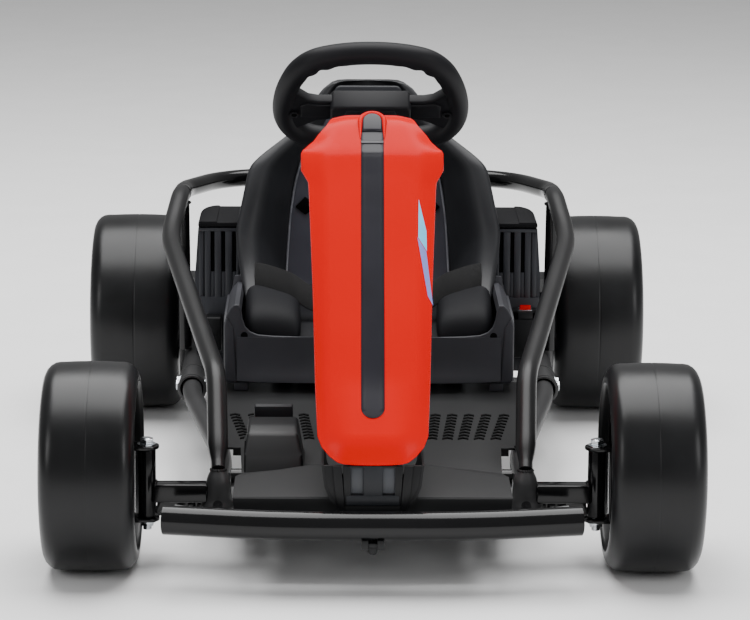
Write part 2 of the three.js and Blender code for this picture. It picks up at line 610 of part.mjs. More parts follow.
// ---------- pedal ----------
function pedals() {
  const shape = (inset) => sidePlate([
    [7 + inset, 105 - inset * 2], [40 + inset, 151 - inset], [60, 157 - inset], [100 - inset, 157 - inset],
    [104 - inset, 105 - inset * 2],
  ], -160, -70).intersect(frontPlate([
    [-150 + inset, 100], [-150 + inset, 124], [-146 + inset, 158], [-88 - inset, 158], [-80 - inset, 124],
    [-80 - inset, 100],
  ], 0, 120));
  const underFloor = joined(
    floorTray.translate([0, 0, gap]), floorTray.translate([0, 0, -3]), box([-170, -20, 80], [-60, 140, 111.5]));
  const earHole = bar([-160, 124, 120], [-80, 124, 120], 3.4, 12);
  const ears = joined(
    box([-152, 100, 111.6], [-147, 132, 127]), box([-89, 100, 111.6], [-84, 132, 127]));
  piece("pedal_housing", without(joined(without(shape(0), shape(3.5)), ears), earHole, underFloor), blackPlastic);
  const pad = sidePlate([[121, 118], [117, 160], [119, 166], [124, 167], [127, 162], [128, 118]], -140.5, -93.5);
  const barrel = bar([-146, 124, 120], [-90, 124, 120], 5.2, 12);
  const pinEnds = bar([-151, 124, 120], [-85, 124, 120], 3, 12);
  piece("throttle_pedal", joined(pad, barrel, pinEnds), blackPlastic);
}

frame();
bumpers();
steering();
knuckles();
wheels();
drive();
bodywork();
seating();
pods();
pedals();

export default new THREE.Group().add(kart);
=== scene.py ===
import math
import bpy
import bmesh
from mathutils import Matrix, Vector


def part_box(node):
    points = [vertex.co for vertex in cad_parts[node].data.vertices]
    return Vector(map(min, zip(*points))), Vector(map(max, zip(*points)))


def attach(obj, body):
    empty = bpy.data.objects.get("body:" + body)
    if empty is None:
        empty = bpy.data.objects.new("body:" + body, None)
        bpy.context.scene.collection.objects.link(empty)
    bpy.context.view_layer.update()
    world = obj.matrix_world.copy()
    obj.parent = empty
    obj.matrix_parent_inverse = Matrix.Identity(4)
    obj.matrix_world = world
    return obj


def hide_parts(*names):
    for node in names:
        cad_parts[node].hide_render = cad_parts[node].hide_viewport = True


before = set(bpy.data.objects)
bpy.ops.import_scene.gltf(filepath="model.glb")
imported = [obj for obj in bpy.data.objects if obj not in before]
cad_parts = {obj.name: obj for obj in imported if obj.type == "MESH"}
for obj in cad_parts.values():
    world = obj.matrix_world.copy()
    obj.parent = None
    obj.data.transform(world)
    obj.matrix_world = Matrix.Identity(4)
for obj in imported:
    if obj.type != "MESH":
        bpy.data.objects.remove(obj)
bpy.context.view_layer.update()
tyreLow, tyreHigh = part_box("front_tyre_left")
axleY = (tyreLow.y + tyreHigh.y) / 2  # pieces are drawn in mm from the front axle line
both = (("left", -1), ("right", 1))
xAxis, yAxis, zAxis = Vector((1, 0, 0)), Vector((0, 1, 0)), Vector((0, 0, 1))


# ---- helpers: shapes are drawn in mm, then placed in metres ----

def finishPiece(bm, name, finish, body="chassis", smooth=35, levels=0):
    # a piece with the name of a CAD node takes that node's place
    nodes = [name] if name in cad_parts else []
    bmesh.ops.remove_doubles(bm, verts=bm.verts, dist=0.001)
    bmesh.ops.scale(bm, vec=(0.001, 0.001, 0.001), verts=bm.verts)
    bmesh.ops.translate(bm, vec=(0, axleY, 0), verts=bm.verts)
    bmesh.ops.recalc_face_normals(bm, faces=bm.faces)
    mesh = bpy.data.meshes.new(name)
    bm.to_mesh(mesh)
    bm.free()
    piece = bpy.data.objects.new(name, mesh)
    bpy.context.scene.collection.objects.link(piece)
    mesh.materials.append(finish)
    mesh.shade_smooth()
    if smooth:
        mesh.set_sharp_from_angle(angle=math.radians(smooth))
    if levels:
        sub = piece.modifiers.new("subdivision", "SUBSURF")
        sub.levels = sub.render_levels = levels
    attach(piece, body)
    if nodes:
        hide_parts(*nodes)
    return piece


def bevelEdges(bm, edges, width, segments):
    bmesh.ops.bevel(bm, geom=list(edges), offset=width, segments=segments, profile=0.5, affect="EDGES",
                    material=-1)


def addBox(bm, corner, opposite, bevel=0, segments=2):
    low, high = (Vector([*map(pick, corner, opposite)]) for pick in (min, max))
    place = Matrix.Translation((low + high) / 2) @ Matrix.Diagonal((*(high - low), 1))
    made = bmesh.ops.create_cube(bm, size=1, matrix=place)
    if bevel:
        edges = {e for v in made["verts"] for e in v.link_edges}
        bevelEdges(bm, edges, bevel, segments)


def addRod(bm, start, end, radius, endRadius=None, sides=28, bevel=0):
    start, end = Vector(start), Vector(end)
    turn = (end - start).to_track_quat("Z", "Y").to_matrix().to_4x4()
    made = bmesh.ops.create_cone(
        bm, cap_ends=True, segments=sides, radius1=radius,
                                 radius2=radius if endRadius is None else endRadius,
        depth=(end - start).length, matrix=Matrix.Translation((start + end) / 2) @ turn)
    if bevel:
        rims = {e for v in made["verts"] for e in v.link_edges if any(len(f.verts) > 4 for f in e.link_faces)}
        bevelEdges(bm, rims, bevel, 2)


def addBall(bm, centre, radius, flat=1, sides=20):
    place = Matrix.Translation(Vector(centre)) @ Matrix.Diagonal((1, 1, flat, 1))
    bmesh.ops.create_uvsphere(bm, u_segments=sides, v_segments=sides // 2, radius=radius, matrix=place)


def roundPath(points, corner, perCorner=7):
    p = [Vector(q) for q in points]
    path = [p[0]]
    for a, b, c in zip(p, p[1:], p[2:]):
        cut = min(corner, (b - a).length * 0.48, (c - b).length * 0.48)
        enter = b.lerp(a, cut / (b - a).length)
        leave = b.lerp(c, cut / (c - b).length)
        for i in range(perCorner + 1):
            t = i / perCorner
            path.append(enter * (1 - t) ** 2 + b * 2 * t * (1 - t) + leave * t * t)
    return path + [p[-1]]


def addTube(bm, path, radius, sides=20, shape=None):
    # shape(share of the length) gives the radius as a share of the full one
    curve = bpy.data.curves.new("path", "CURVE")
    curve.dimensions = "3D"
    curve.bevel_depth = radius
    curve.bevel_resolution = sides // 4 - 1
    curve.use_fill_caps = True
    run = curve.splines.new("POLY")
    run.points.add(len(path) - 1)
    total = sum((b - a).length for a, b in zip(path, path[1:]))
    gone = 0
    for i, point in enumerate(path):
        run.points[i].co = (*point, 1)
        gone += (point - path[i - 1]).length if i else 0
        run.points[i].radius = shape(gone / total) if shape else 1
    holder = bpy.data.objects.new("path", curve)
    bpy.context.scene.collection.objects.link(holder)
    bpy.context.view_layer.update()
    mesh = bpy.data.meshes.new_from_object(holder.evaluated_get(bpy.context.evaluated_depsgraph_get()))
    bm.from_mesh(mesh)
    bpy.data.objects.remove(holder)
    bpy.data.meshes.remove(mesh)
    bpy.data.curves.remove(curve)


def finePath(points, corner, step=12):
    path = roundPath(points, corner)
    fine = [path[0]]
    for a, b in zip(path, path[1:]):
        parts = max(1, round((b - a).length / step))
        fine += [a.lerp(b, i / parts) for i in range(1, parts + 1)]
    return fine


def addPlate(bm, outline, axis, low, high, bevel=0, segments=2):
    # a flat outline, given in the two directions that are not axis, as thick as low to high
    low, high = sorted((low, high))

    def spot(p):
        q = list(p)
        q.insert("xyz".index(axis), low)
        return q
    verts = [bm.verts.new(spot(p)) for p in outline]
    face = bm.faces.new(verts)
    grown = bmesh.ops.extrude_face_region(bm, geom=[face])
    top = [v for v in grown["geom"] if isinstance(v, bmesh.types.BMVert)]
    push = Vector((0, 0, 0))
    push["xyz".index(axis)] = high - low
    bmesh.ops.translate(bm, vec=push, verts=top)
    if bevel:
        rims = {e for v in verts + top for e in v.link_edges
                if any(len(f.verts) == len(outline) for f in e.link_faces)}
        bevelEdges(bm, rims, bevel, segments)


def spinPoints(bm, points, centre, axis, steps, closed=True):
    verts = [bm.verts.new(p) for p in points]
    edges = [bm.edges.new(pair) for pair in zip(verts, verts[1:] + verts[:closed])]
    bmesh.ops.spin(bm, geom=verts + edges, cent=centre, axis=axis, angle=math.tau, steps=steps,
                   use_merge=True)


def addTurned(bm, profile, centre, steps=96, side=1):
    # profile: [radius, distance outwards along the axle] pairs, closed on itself
    points = [(centre[0] + side * along, centre[1], centre[2] + r) for r, along in profile]
    spinPoints(bm, points, centre, (1, 0, 0), steps)


def roundedOutline(halfWidth, halfHeight, corner, centre=(0, 0), steps=5):
    points = []
    for quarter in range(4):
        sx, sz = ((1, 1), (-1, 1), (-1, -1), (1, -1))[quarter]
        for i in range(steps + 1):
            a = math.pi / 2 * (quarter + i / steps)
            points.append((centre[0] + sx * (halfWidth - corner) + math.cos(a) * corner,
                           centre[1] + sz * (halfHeight - corner) + math.sin(a) * corner))
    return points


def mirrored(points):
    return list(points) + [(-x, z) for x, z in reversed(points)]


def onSide(s, points):
    return [(s * x, *rest) for x, *rest in points]


def circle(centre, u, v, radius, steps=40, past=2):
    # points from u towards v round the centre, running past the first one to close the tube
    angles = [math.tau * i / steps for i in range(steps + past)]
    return [Vector(centre) + u * (radius * math.cos(a)) + v * (radius * math.sin(a)) for a in angles]


def moveInto(bm, part):
    ready = bpy.data.meshes.new("part")
    part.to_mesh(ready)
    part.free()
    bm.from_mesh(ready)
    bpy.data.meshes.remove(ready)


def addHex(bm, centre, axis, radius, height, washer=0):
    centre, axis = Vector(centre), Vector(axis)
    addRod(bm, centre, centre + axis * height, radius, sides=6, bevel=radius * 0.08)
    if washer:
        addRod(bm, centre - axis * 1.2, centre, washer, sides=28)


# ---- finishes ----

def makeFinish(name, colour, roughness, metallic=0, spread=0.15, grain=600, bump=0.15, depth=0.0002,
               patch=9,
               coat=0, coatRoughness=0.05, sheen=0, specular=0.5, wear=0.12):
    material = bpy.data.materials.new(name)
    material.use_nodes = True
    nodes, links = material.node_tree.nodes, material.node_tree.links
    shader = nodes["Principled BSDF"]
    shader.inputs["Metallic"].default_value = metallic
    shader.inputs["Coat Weight"].default_value = coat
    shader.inputs["Coat Roughness"].default_value = coatRoughness
    shader.inputs["Sheen Weight"].default_value = sheen
    shader.inputs["Specular IOR Level"].default_value = specular
    place = nodes.new("ShaderNodeTexCoord")
    cloud = nodes.new("ShaderNodeTexNoise")  # slow change of colour and gloss over the piece
    cloud.inputs["Scale"].default_value = patch
    cloud.inputs["Detail"].default_value = 6
    tint = nodes.new("ShaderNodeValToRGB")
    tint.color_ramp.elements[0].position = 0.35
    tint.color_ramp.elements[1].position = 0.7
    tint.color_ramp.elements[0].color = (*[c * (1 - spread) for c in colour], 1)
    tint.color_ramp.elements[1].color = (*[min(1, c * (1 + spread)) for c in colour], 1)
    gloss = nodes.new("ShaderNodeMapRange")
    gloss.inputs["To Min"].default_value = roughness * (1 - wear)
    gloss.inputs["To Max"].default_value = min(1, roughness * (1 + wear) + 0.02)
    fine = nodes.new("ShaderNodeTexNoise")
    fine.inputs["Scale"].default_value = grain
    fine.inputs["Detail"].default_value = 3
    relief = nodes.new("ShaderNodeBump")
    relief.inputs["Strength"].default_value = bump
    relief.inputs["Distance"].default_value = depth
    links.new(place.outputs["Object"], cloud.inputs["Vector"])
    links.new(place.outputs["Object"], fine.inputs["Vector"])
    links.new(cloud.outputs["Fac"], tint.inputs["Fac"])
    links.new(tint.outputs["Color"], shader.inputs["Base Color"])
    links.new(cloud.outputs["Fac"], gloss.inputs["Value"])
    links.new(gloss.outputs["Result"], shader.inputs["Roughness"])
    links.new(fine.outputs["Fac"], relief.inputs["Height"])
    links.new(relief.outputs["Normal"], shader.inputs["Normal"])
    return material


def addLeatherGrain(material, scale=900, depth=0.00025):
    nodes, links = material.node_tree.nodes, material.node_tree.links
    cells = nodes.new("ShaderNodeTexVoronoi")
    cells.feature = "DISTANCE_TO_EDGE"
    cells.inputs["Scale"].default_value = scale
    creases = nodes.new("ShaderNodeBump")
    creases.inputs["Strength"].default_value = 0.35
    creases.inputs["Distance"].default_value = depth
    place = next(n for n in nodes if n.bl_idname == "ShaderNodeTexCoord")
    first = next(n for n in nodes if n.bl_idname == "ShaderNodeBump")
    links.new(place.outputs["Object"], cells.inputs["Vector"])
    links.new(cells.outputs["Distance"], creases.inputs["Height"])
    links.new(first.outputs["Normal"], creases.inputs["Normal"])
    links.new(creases.outputs["Normal"], nodes["Principled BSDF"].inputs["Normal"])
    return material


def addWeave(material, scale=(900, 900, 900), depth=0.0004):
    nodes, links = material.node_tree.nodes, material.node_tree.links
    place = next(n for n in nodes if n.bl_idname == "ShaderNodeTexCoord")
    weft = nodes.new("ShaderNodeTexWave")
    warp = nodes.new("ShaderNodeTexWave")
    warp.bands_direction = "Y"
    both = nodes.new("ShaderNodeMath")
    both.operation = "MULTIPLY"
    relief = next(n for n in nodes if n.bl_idname == "ShaderNodeBump")
    relief.inputs["Strength"].default_value = 0.8
    relief.inputs["Distance"].default_value = depth
    for wave in (weft, warp):
        wave.inputs["Scale"].default_value = scale[0]
        links.new(place.outputs["Object"], wave.inputs["Vector"])
    links.new(weft.outputs["Fac"], both.inputs[0])
    links.new(warp.outputs["Fac"], both.inputs[1])
    links.new(both.outputs["Value"], relief.inputs["Height"])
    return material


fineGrain = {"grain": 1500, "bump": 0.2, "depth": 0.00015, "patch": 14}
coarseGrain = {"grain": 1300, "bump": 0.25, "depth": 0.00018, "patch": 12}
glossBlack = makeFinish("gloss black powder coat", (0.004, 0.004, 0.0045), 0.14, coat=0.05,
                        coatRoughness=0.05, specular=0.28,
                        grain=220, bump=0.08, depth=0.0004, spread=0.2)
satinGrey = makeFinish("satin grey powder coat", (0.032, 0.032, 0.033), 0.45, grain=420, bump=0.15,
                       depth=0.0003,
                        specular=0.3)
zincPlate = makeFinish("zinc plate", (0.62, 0.65, 0.68), 0.25, metallic=1, grain=300, spread=0.12, patch=60,
                       wear=0.3)
blackPlastic = makeFinish("moulded black plastic", (0.0068, 0.007, 0.0078), 0.4, specular=0.25, **fineGrain)
darkPlastic = makeFinish("moulded charcoal plastic", (0.016, 0.0168, 0.02), 0.45, specular=0.25,
                         **coarseGrain)
trayPlastic = makeFinish("floor tray plastic", (0.0115, 0.0118, 0.0125), 0.55, specular=0.25, grain=1100,
                         bump=0.3, depth=0.0003, patch=10)
slickRubber = makeFinish("slick tyre compound", (0.0038, 0.004, 0.0046), 0.33, specular=0.3, grain=900,
                         bump=0.12, depth=0.0002,
                         spread=0.35, patch=16, wear=0.3)
rimPlastic = makeFinish("rim plastic", (0.006, 0.0062, 0.0068), 0.3, specular=0.3, grain=900, bump=0.12,
                        depth=0.0002)
redGloss = makeFinish("red gloss plastic", (0.62, 0.0006, 0.0004), 0.26, grain=35, bump=0.03, depth=0.0006,
                      spread=0.04, specular=0.05,
                      patch=5, coat=0.03, coatRoughness=0.05)
stripeFilm = makeFinish("charcoal stripe film", (0.009, 0.0085, 0.014), 0.3, specular=0.3, grain=700,
                        bump=0.08, depth=0.0001, patch=20)
# painted reflection colours: a pale blue highlight and a violet band, laid on one side facet of the fairing
paleBlueReflection = makeFinish("pale blue painted reflection", (0.13, 0.62, 0.95), 0.25, spread=0.06, patch=30)
violetReflection = makeFinish("violet painted reflection", (0.22, 0.25, 0.62), 0.25, spread=0.06, patch=30)
padVinyl = addLeatherGrain(makeFinish("seat vinyl", (0.034, 0.035, 0.046), 0.38, patch=16, spread=0.1,
                                      specular=0.3))
# painted highlight: real piping, its light grey colour stands in for the highlight lines along it
pipingHighlightVinyl = addLeatherGrain(makeFinish("piping vinyl with painted highlight", (0.1, 0.102, 0.118), 0.28, specular=0.5))
cushionVinyl = addLeatherGrain(makeFinish("cushion vinyl", (0.0062, 0.0064, 0.008), 0.6, patch=16,
                                          spread=0.1, specular=0.12))
beltWebbing = addWeave(makeFinish("belt webbing", (0.003, 0.003, 0.0034), 0.85, sheen=0.05, specular=0.2,
                                  patch=30))
satinBlack = makeFinish("satin black powder coat", (0.009, 0.009, 0.0095), 0.36, grain=260, bump=0.1,
                        depth=0.0004,
                        specular=0.25, wear=0.2)
skirtPlastic = makeFinish("skirt plastic", (0.03, 0.0305, 0.036), 0.45, specular=0.3, **coarseGrain)
podPlastic = makeFinish("pod plastic", (0.026, 0.0275, 0.033), 0.42, specular=0.3, **coarseGrain)
seatPlastic = makeFinish("seat plastic", (0.0135, 0.014, 0.016), 0.42, specular=0.25, **fineGrain)
wheelPlastic = makeFinish("soft wheel plastic", (0.0075, 0.0075, 0.009), 0.48, specular=0.14, **fineGrain)
lidPlastic = makeFinish("lid plastic", (0.0055, 0.0055, 0.0065), 0.55, specular=0.08, **fineGrain)
slateInset = makeFinish("slate inset", (0.034, 0.038, 0.046), 0.38, grain=900, patch=30)
darkSlate = makeFinish("dark slate plastic", (0.015, 0.0165, 0.02), 0.4, specular=0.3, grain=900, patch=30)
# painted shade: the treads are darker than the tray to stand in for the shadows of the embossing
treadShade = makeFinish("tread painted shade", (0.0022, 0.0022, 0.0024), 0.75, specular=0.1)
# painted shade: near-black filler put in screw recesses, belt slots, skirt holes and pod vents, where only
# shade is
openingShade = makeFinish("painted shade in openings", (0.0015, 0.0015, 0.0016), 0.9, specular=0.05)
copperLead = makeFinish("lead sleeve", (0.01, 0.01, 0.01), 0.5, grain=900)


def dress(finish, *names):
    for name in names:
        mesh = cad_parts[name].data
        mesh.materials.clear()
        mesh.materials.append(finish)


# ---- camera, floor and light ----

view = {"place": (-0.043, -3.604, 1.085), "turn": -0.72, "pitch": 12.16, "roll": 0.35, "lens": 153.6}


def setStage():
    az, pitch, roll = (math.radians(view[k]) for k in ("turn", "pitch", "roll"))
    forward = Vector((-math.sin(az) * math.cos(pitch), math.cos(az) * math.cos(pitch), -math.sin(pitch)))
    right = Vector((math.cos(az), math.sin(az), 0))
    upward = right.cross(forward)
    r = right * math.cos(roll) + upward * math.sin(roll)
    u = upward * math.cos(roll) - right * math.sin(roll)
    lens = bpy.data.cameras.new("camera")
    lens.lens = view["lens"]
    camera = bpy.data.objects.new("camera", lens)
    camera.matrix_world = Matrix.Translation(Vector(view["place"]) + Vector((0, axleY, 0))) @ Matrix(
        (r, u, -forward)).transposed().to_4x4()
    bpy.context.scene.collection.objects.link(camera)
    bpy.context.scene.camera = camera

    bm = bmesh.new()
    bmesh.ops.create_grid(bm, x_segments=1, y_segments=1, size=9)
    mesh = bpy.data.meshes.new("floor")
    bm.to_mesh(mesh)
    bm.free()
    floor = bpy.data.objects.new("floor", mesh)
    floor.location.z = -0.0005
    bpy.context.scene.collection.objects.link(floor)
    mesh.materials.append(makeFinish("pale floor", (0.9, 0.9, 0.9), 0.7, spread=0.01, bump=0.02))

    world = bpy.data.worlds.new("studio")
    bpy.context.scene.world = world
    world.use_nodes = True
    world.node_tree.nodes["Background"].inputs["Color"].default_value = (1, 1, 1, 1)
    world.node_tree.nodes["Background"].inputs["Strength"].default_value = 0.35
    for name, place, size, power in (
        ("overhead", (0, 0.5, 3.4), (3.6, 3.6), 290),
        ("front left", (-2.6, -2.4, 1.7), (0.9, 1.6), 26),
        ("front right", (2.6, -2.4, 1.6), (0.9, 1.6), 30),
    ):
        lamp = bpy.data.lights.new(name, "AREA")
        lamp.shape = "RECTANGLE"
        lamp.size, lamp.size_y = size
        lamp.energy = power
        holder = bpy.data.objects.new(name, lamp)
        holder.location = place
        aim = Vector((0, 0, 0.25)) - Vector(place)
        holder.rotation_euler = aim.to_track_quat("-Z", "Y").to_euler()
        bpy.context.scene.collection.objects.link(holder)


# ---- frame tubes ----

tubes = {"railX": 179, "flareX": 232, "railZ": 95, "railRadius": 12.7, "barRadius": 12, "hoopZ": 325,
         "sleeveRadius": 18, "sleeveFrom": 495, "sleeveTo": 878, "crimp": 0.68}


def weldBead(bm, centre, axis, radius, thick=1.7, ripples=26):
    # a rippled ring of weld round a tube end
    centre, axis = Vector(centre), Vector(axis).normalized()
    side = axis.orthogonal().normalized()
    ring = circle(centre, side, axis.cross(side), radius, ripples * 3)
    addTube(bm, ring, thick, sides=8, shape=lambda t: 1 + 0.28 * math.sin(t * math.tau * ripples))


def makeRails():
    x, z, r = tubes["railX"], tubes["railZ"], tubes["railRadius"]
    for name, s in both:
        bm = bmesh.new()
        path = finePath(onSide(s, [(x, 4, z), (x, 150, z), (tubes["flareX"], 470, z),
                                   (tubes["flareX"], 590, z)]), 90)
        addTube(bm, path, r, sides=28)
        # upright socket with rounded shoulders, flared at its foot
        socket = [(0, 75), (20, 75), (20.6, 75.8), (20.4, 77), (18, 80), (16.2, 83.4), (15.4, 88),
                  (14.9, 96), (14.2, 103),
                  (13.1, 108), (11.4, 112.4), (9.6, 115.6), (8.4, 118), (0, 118)]
        spinPoints(bm, [(s * x + radius, 0, up) for radius, up in socket], (s * x, 0, 0), zAxis, 40,
                   closed=False)
        finishPiece(bm, "front_rail_" + name, satinGrey)
        bm = bmesh.new()
        addBox(bm, (s * 191, -11, 80), (s * 255, 11, 102), bevel=2.4, segments=3)
        pin = s * kingpin["x"]
        addRod(bm, (pin, 0, 62.5), (pin, 0, 142), kingpin["tube"], sides=36, bevel=0.6)
        for dz in (-9, -3, 3, 9):  # weld runs beside the beam's end
            for dy in (-8.5, 8.5):
                addBall(bm, (s * 252.4, dy, 91 + dz), 2.6, sides=10)
        for dy in (-6, 0, 6):
            addBall(bm, (s * 252.2, dy, 102), 2.5, sides=10)
        addPlate(bm, onSide(s, [(250, 81), (222, 81), (238, 69), (252, 65)]), "y", -2, 2, bevel=0.5)
        finishPiece(bm, "front_beam_" + name, glossBlack)


def makeSleeves():
    x, z, r = tubes["flareX"], tubes["railZ"], tubes["sleeveRadius"]
    start, end = tubes["sleeveFrom"], tubes["sleeveTo"]
    for name, s in both:
        bm = bmesh.new()
        ring = [(r, 0), (r, end - start), (15.2, end - start), (15.2, 0)]
        points = [(s * x, start + along, z + out) for out, along in ring]
        spinPoints(bm, points, (s * x, start, z), yAxis, 36)
        rims = [e for e in bm.edges
                if all(min(abs(v.co.y - start), abs(v.co.y - end)) < 0.01 for v in e.verts)
                and abs(e.verts[0].co.y - e.verts[1].co.y) < 0.01
                and all(math.dist((v.co.x, v.co.z), (s * x, z)) > 17 for v in e.verts)]
        bevelEdges(bm, rims, 1.2, 2)
        # collar with its two clamp bolts, and the axle plate with a gusset
        for y in (start + 3, start + 60):
            addTube(bm, circle((s * x, y, z), xAxis, zAxis, r), 1.6, sides=8)
        gusset = [(772, 80), (840, 80), (840, 150), (818, 164), (782, 164), (772, 150)]
        addPlate(bm, gusset, "x", s * 206, s * 210, bevel=0.8)
        addBox(bm, (s * 206, 774, 86), (s * 222, 838, 90), bevel=0.8)
        finishPiece(bm, "rear_sleeve_" + name, satinGrey)
        bm = bmesh.new()
        for y in (start + 20, start + 42):
            for way in (1, -1):
                addHex(bm, (s * (x + way * (r - 1)), y, z), (way * s, 0, 0), 6.4, 4.6, washer=8.5)
        finishPiece(bm, "sleeve_bolts_" + name, zincPlate, smooth=30)


def makeSideBars():
    x, crimp = tubes["railX"], tubes["crimp"]
    for name, s in both:
        bm = bmesh.new()
        knee, shoulder = Vector((s * (x + 6), 112, 205)), Vector((s * (x + 84), 545, 288))
        middle = knee.lerp(shoulder, 0.5)
        path = finePath([(s * x, 0, 118), knee, middle], 26)[:-1]
        path += finePath([middle, shoulder, (s * 253, 652, 325), (s * 250.3, 688, 325)], 46)
        path = [path[0], *(path[0].lerp(path[1], k / 5) for k in range(1, 5)), *path[1:]]

        def waist(t):  # pinched where it enters the socket
            return 1 if t > 0.042 else crimp + (1 - crimp) * max(0, t - 0.02) / 0.022
        addTube(bm, path, tubes["barRadius"] + 0.1, sides=28, shape=waist)
        weldBead(bm, (s * x, 0.5, 117.6), (0, 0.1, 1), 8.2, thick=1.7, ripples=15)
        finishPiece(bm, "side_bar_" + name, satinBlack)


def makeHoop():
    z, r = tubes["hoopZ"], tubes["barRadius"]
    bm = bmesh.new()
    path = finePath([(251, 668, z), (250, 700, z), (205, 800, z - 3), (120, 842, z - 5), (-120, 842, z - 5),
                     (-205, 800, z - 3), (-250, 700, z), (-251, 668, z)], 70)
    addTube(bm, path, r, sides=28)
    for s in (-1, 1):
        addRod(bm, (s * 248, 655, 113), (s * 250, 655, z - 8), 9, sides=28)
        weldBead(bm, (s * 250, 655, z - 10), (0, 0, 1), 9.6)
    finishPiece(bm, "rear_hoop", glossBlack)


bumper = {"half": 238, "z": 81.5, "y": -112.5, "endY": -86, "radius": 17}


def makeBumper():
    h, z, r = bumper["half"], bumper["z"], bumper["radius"]
    bm = bmesh.new()
    path = finePath([(-h, bumper["endY"], z), (-h * 0.45, bumper["y"] + 3, z),
                     (h * 0.45, bumper["y"] + 3, z),
                     (h, bumper["endY"], z)], 110, step=9)
    addTube(bm, path, r, sides=36)
    rims = [e for e in bm.edges if any(len(f.verts) > 4 for f in e.link_faces)]
    bevelEdges(bm, rims, 2.2, 3)
    for s in (-1, 1):
        addRod(bm, (s * tubes["railX"], -21, z - 1), (s * tubes["railX"], -100, z - 1), 6, bevel=0.6)
    finishPiece(bm, "front_bumper", glossBlack)
    bm = bmesh.new()
    for s in (-1, 1):  # two cheeks of the clip, joined by a bridge
        addBox(bm, (s * 5, -123, 57), (s * 13, -101, 68), bevel=1.2)
    addBox(bm, (-6, -121, 59), (6, -103, 64), bevel=0.8)
    addRod(bm, (0, -112, 51), (0, -112, 60), 5.6, sides=24, bevel=0.8)
    addBall(bm, (0, -112, 52), 5.4, flat=0.7)
    finishPiece(bm, "bumper_clip", blackPlastic)


# ---- wheels ----

halfTrack = 380  # from the middle to the tyres' outer sides
wheelKinds = {
    "front": {"radius": 122, "width": 109, "bead": 97, "y": 0, "web": 28, "hub": 46, "spokes": 6},
    "rear": {"radius": 135, "width": 122, "bead": 108, "y": 800, "web": 30, "hub": 50, "spokes": 6},
}


def tyreProfile(kind):
    r, w, bead = kind["radius"], kind["width"] / 2, kind["bead"]
    half = [(r - 0.45, 0), (r - 0.1, 0.8), (r, 2.2), (r - 0.3, w * 0.35), (r - 0.9, w * 0.55)]
    for deg in (90, 72, 54, 36, 18, 0):
        a = math.radians(deg)
        half.append((r - 20.5 + 19.5 * math.sin(a), w - 18 + 18 * math.cos(a)))
    half += [(r - 23.3, w - 0.2), (r - 23.7, w - 1.2), (r - 24.4, w - 2), (bead + 0.4, w - 5),
             (bead, w - 12)]
    return half + [(a, -b) for a, b in reversed(half[1:])]


def rimProfile(kind):
    w, bead, web = kind["width"] / 2, kind["bead"] - 0.3, kind["web"]
    face, inner = w - web, kind["bead"] - 10
    return [(inner, 14 - w), (inner - 2, 12 - w), (bead, 11.6 - w), (bead, w - 11.6), (bead - 1.5, w - 9.6),
            (bead - 5, w - 9.6), (inner + 0.5, w - 12), (inner - 4, face + 2), (inner - 9, face - 4),
            (inner - 1, face - 8)]


def makeWheels():
    for end, kind in wheelKinds.items():
        w, web = kind["width"] / 2, kind["web"]
        face = w - web
        for name, s in both:
            body = f"{end}_wheel_{name}"
            centre = (s * (halfTrack - w), kind["y"], kind["radius"])
            bm = bmesh.new()
            addTurned(bm, tyreProfile(kind), centre, steps=120, side=s)
            finishPiece(bm, f"{end}_tyre_{name}", slickRubber, body, smooth=50)

            bm = bmesh.new()
            addTurned(bm, rimProfile(kind), centre, side=s)
            addTurned(bm,
                      [(6.4, face + 5), (11, face + 5), (20, face + 3.6), (26, face - 2), (26, face - 9),
                           (22, face - 12), (20, face - kind["hub"]), (6.4, face - kind["hub"])], centre,
                      64, s)
            addTurned(bm,
                      [(24, face - 6.4), (kind["bead"] - 12, face - 6.4), (kind["bead"] - 10, face - 7.4),
                           (kind["bead"] - 12, face - 8.4), (24, face - 8.4)], centre, 64, s)
            for i in range(kind["spokes"]):
                spoke = bmesh.new()
                reach = kind["bead"] - 9
                for blade, start, stop, bevel in (
                        ([(-9, 18), (9, 18), (14, reach), (-14, reach)], -7, 0.5, 2.2),
                        ([(-1.6, 18), (1.6, 18), (1.6, reach), (-1.6, reach)], -30, -7.8, 0)):
                    low, high = (centre[0] + s * (face + depth) for depth in (start, stop))
                    addPlate(spoke, blade, "x", low, high, bevel=bevel)
                bmesh.ops.rotate(spoke, cent=(0, 0, 0),
                                 matrix=Matrix.Rotation(math.tau * i / kind["spokes"], 3, "X"),
                                 verts=spoke.verts)
                bmesh.ops.translate(spoke, vec=(0, centre[1], centre[2]), verts=spoke.verts)
                moveInto(bm, spoke)
            finishPiece(bm, f"{end}_rim_{name}", rimPlastic, body)

            bm = bmesh.new()  # six screws with washers, round the nut's seat
            for i in range(6):
                a = math.tau * (i + 0.5) / 6
                spot = (centre[0] + s * (face - 6.4), centre[1] + 35 * math.sin(a),
                        centre[2] + 35 * math.cos(a))
                addHex(bm, spot, (s, 0, 0), 4.4, 3.2, washer=6)
            finishPiece(bm, f"{end}_rim_bolts_{name}", zincPlate, body)


# ---- shared surfaces ----

def between(rows, value, key=0):
    # the row at that value of its key column, straight lines between the given rows
    for a, b in zip(rows, rows[1:]):
        if value <= b[key] or b is rows[-1]:
            t = (value - a[key]) / (b[key] - a[key])
            return [p + (q - p) * t for p, q in zip(a, b)]


def addSheet(bm, rows, thickness=0, closed=False):
    # a grid of points as faces, row by row; closed joins each row's end to its start
    made = []
    grid = [[bm.verts.new(p) for p in row] for row in rows]
    for a, b in zip(grid, grid[1:]):
        pairs = list(zip(a, a[1:], b[1:], b)) + ([(a[-1], a[0], b[0], b[-1])] if closed else [])
        for corners in pairs:
            made.append(bm.faces.new(corners))
    if thickness:
        bmesh.ops.recalc_face_normals(bm, faces=made)
        bmesh.ops.solidify(bm, geom=made, thickness=thickness)
    return grid


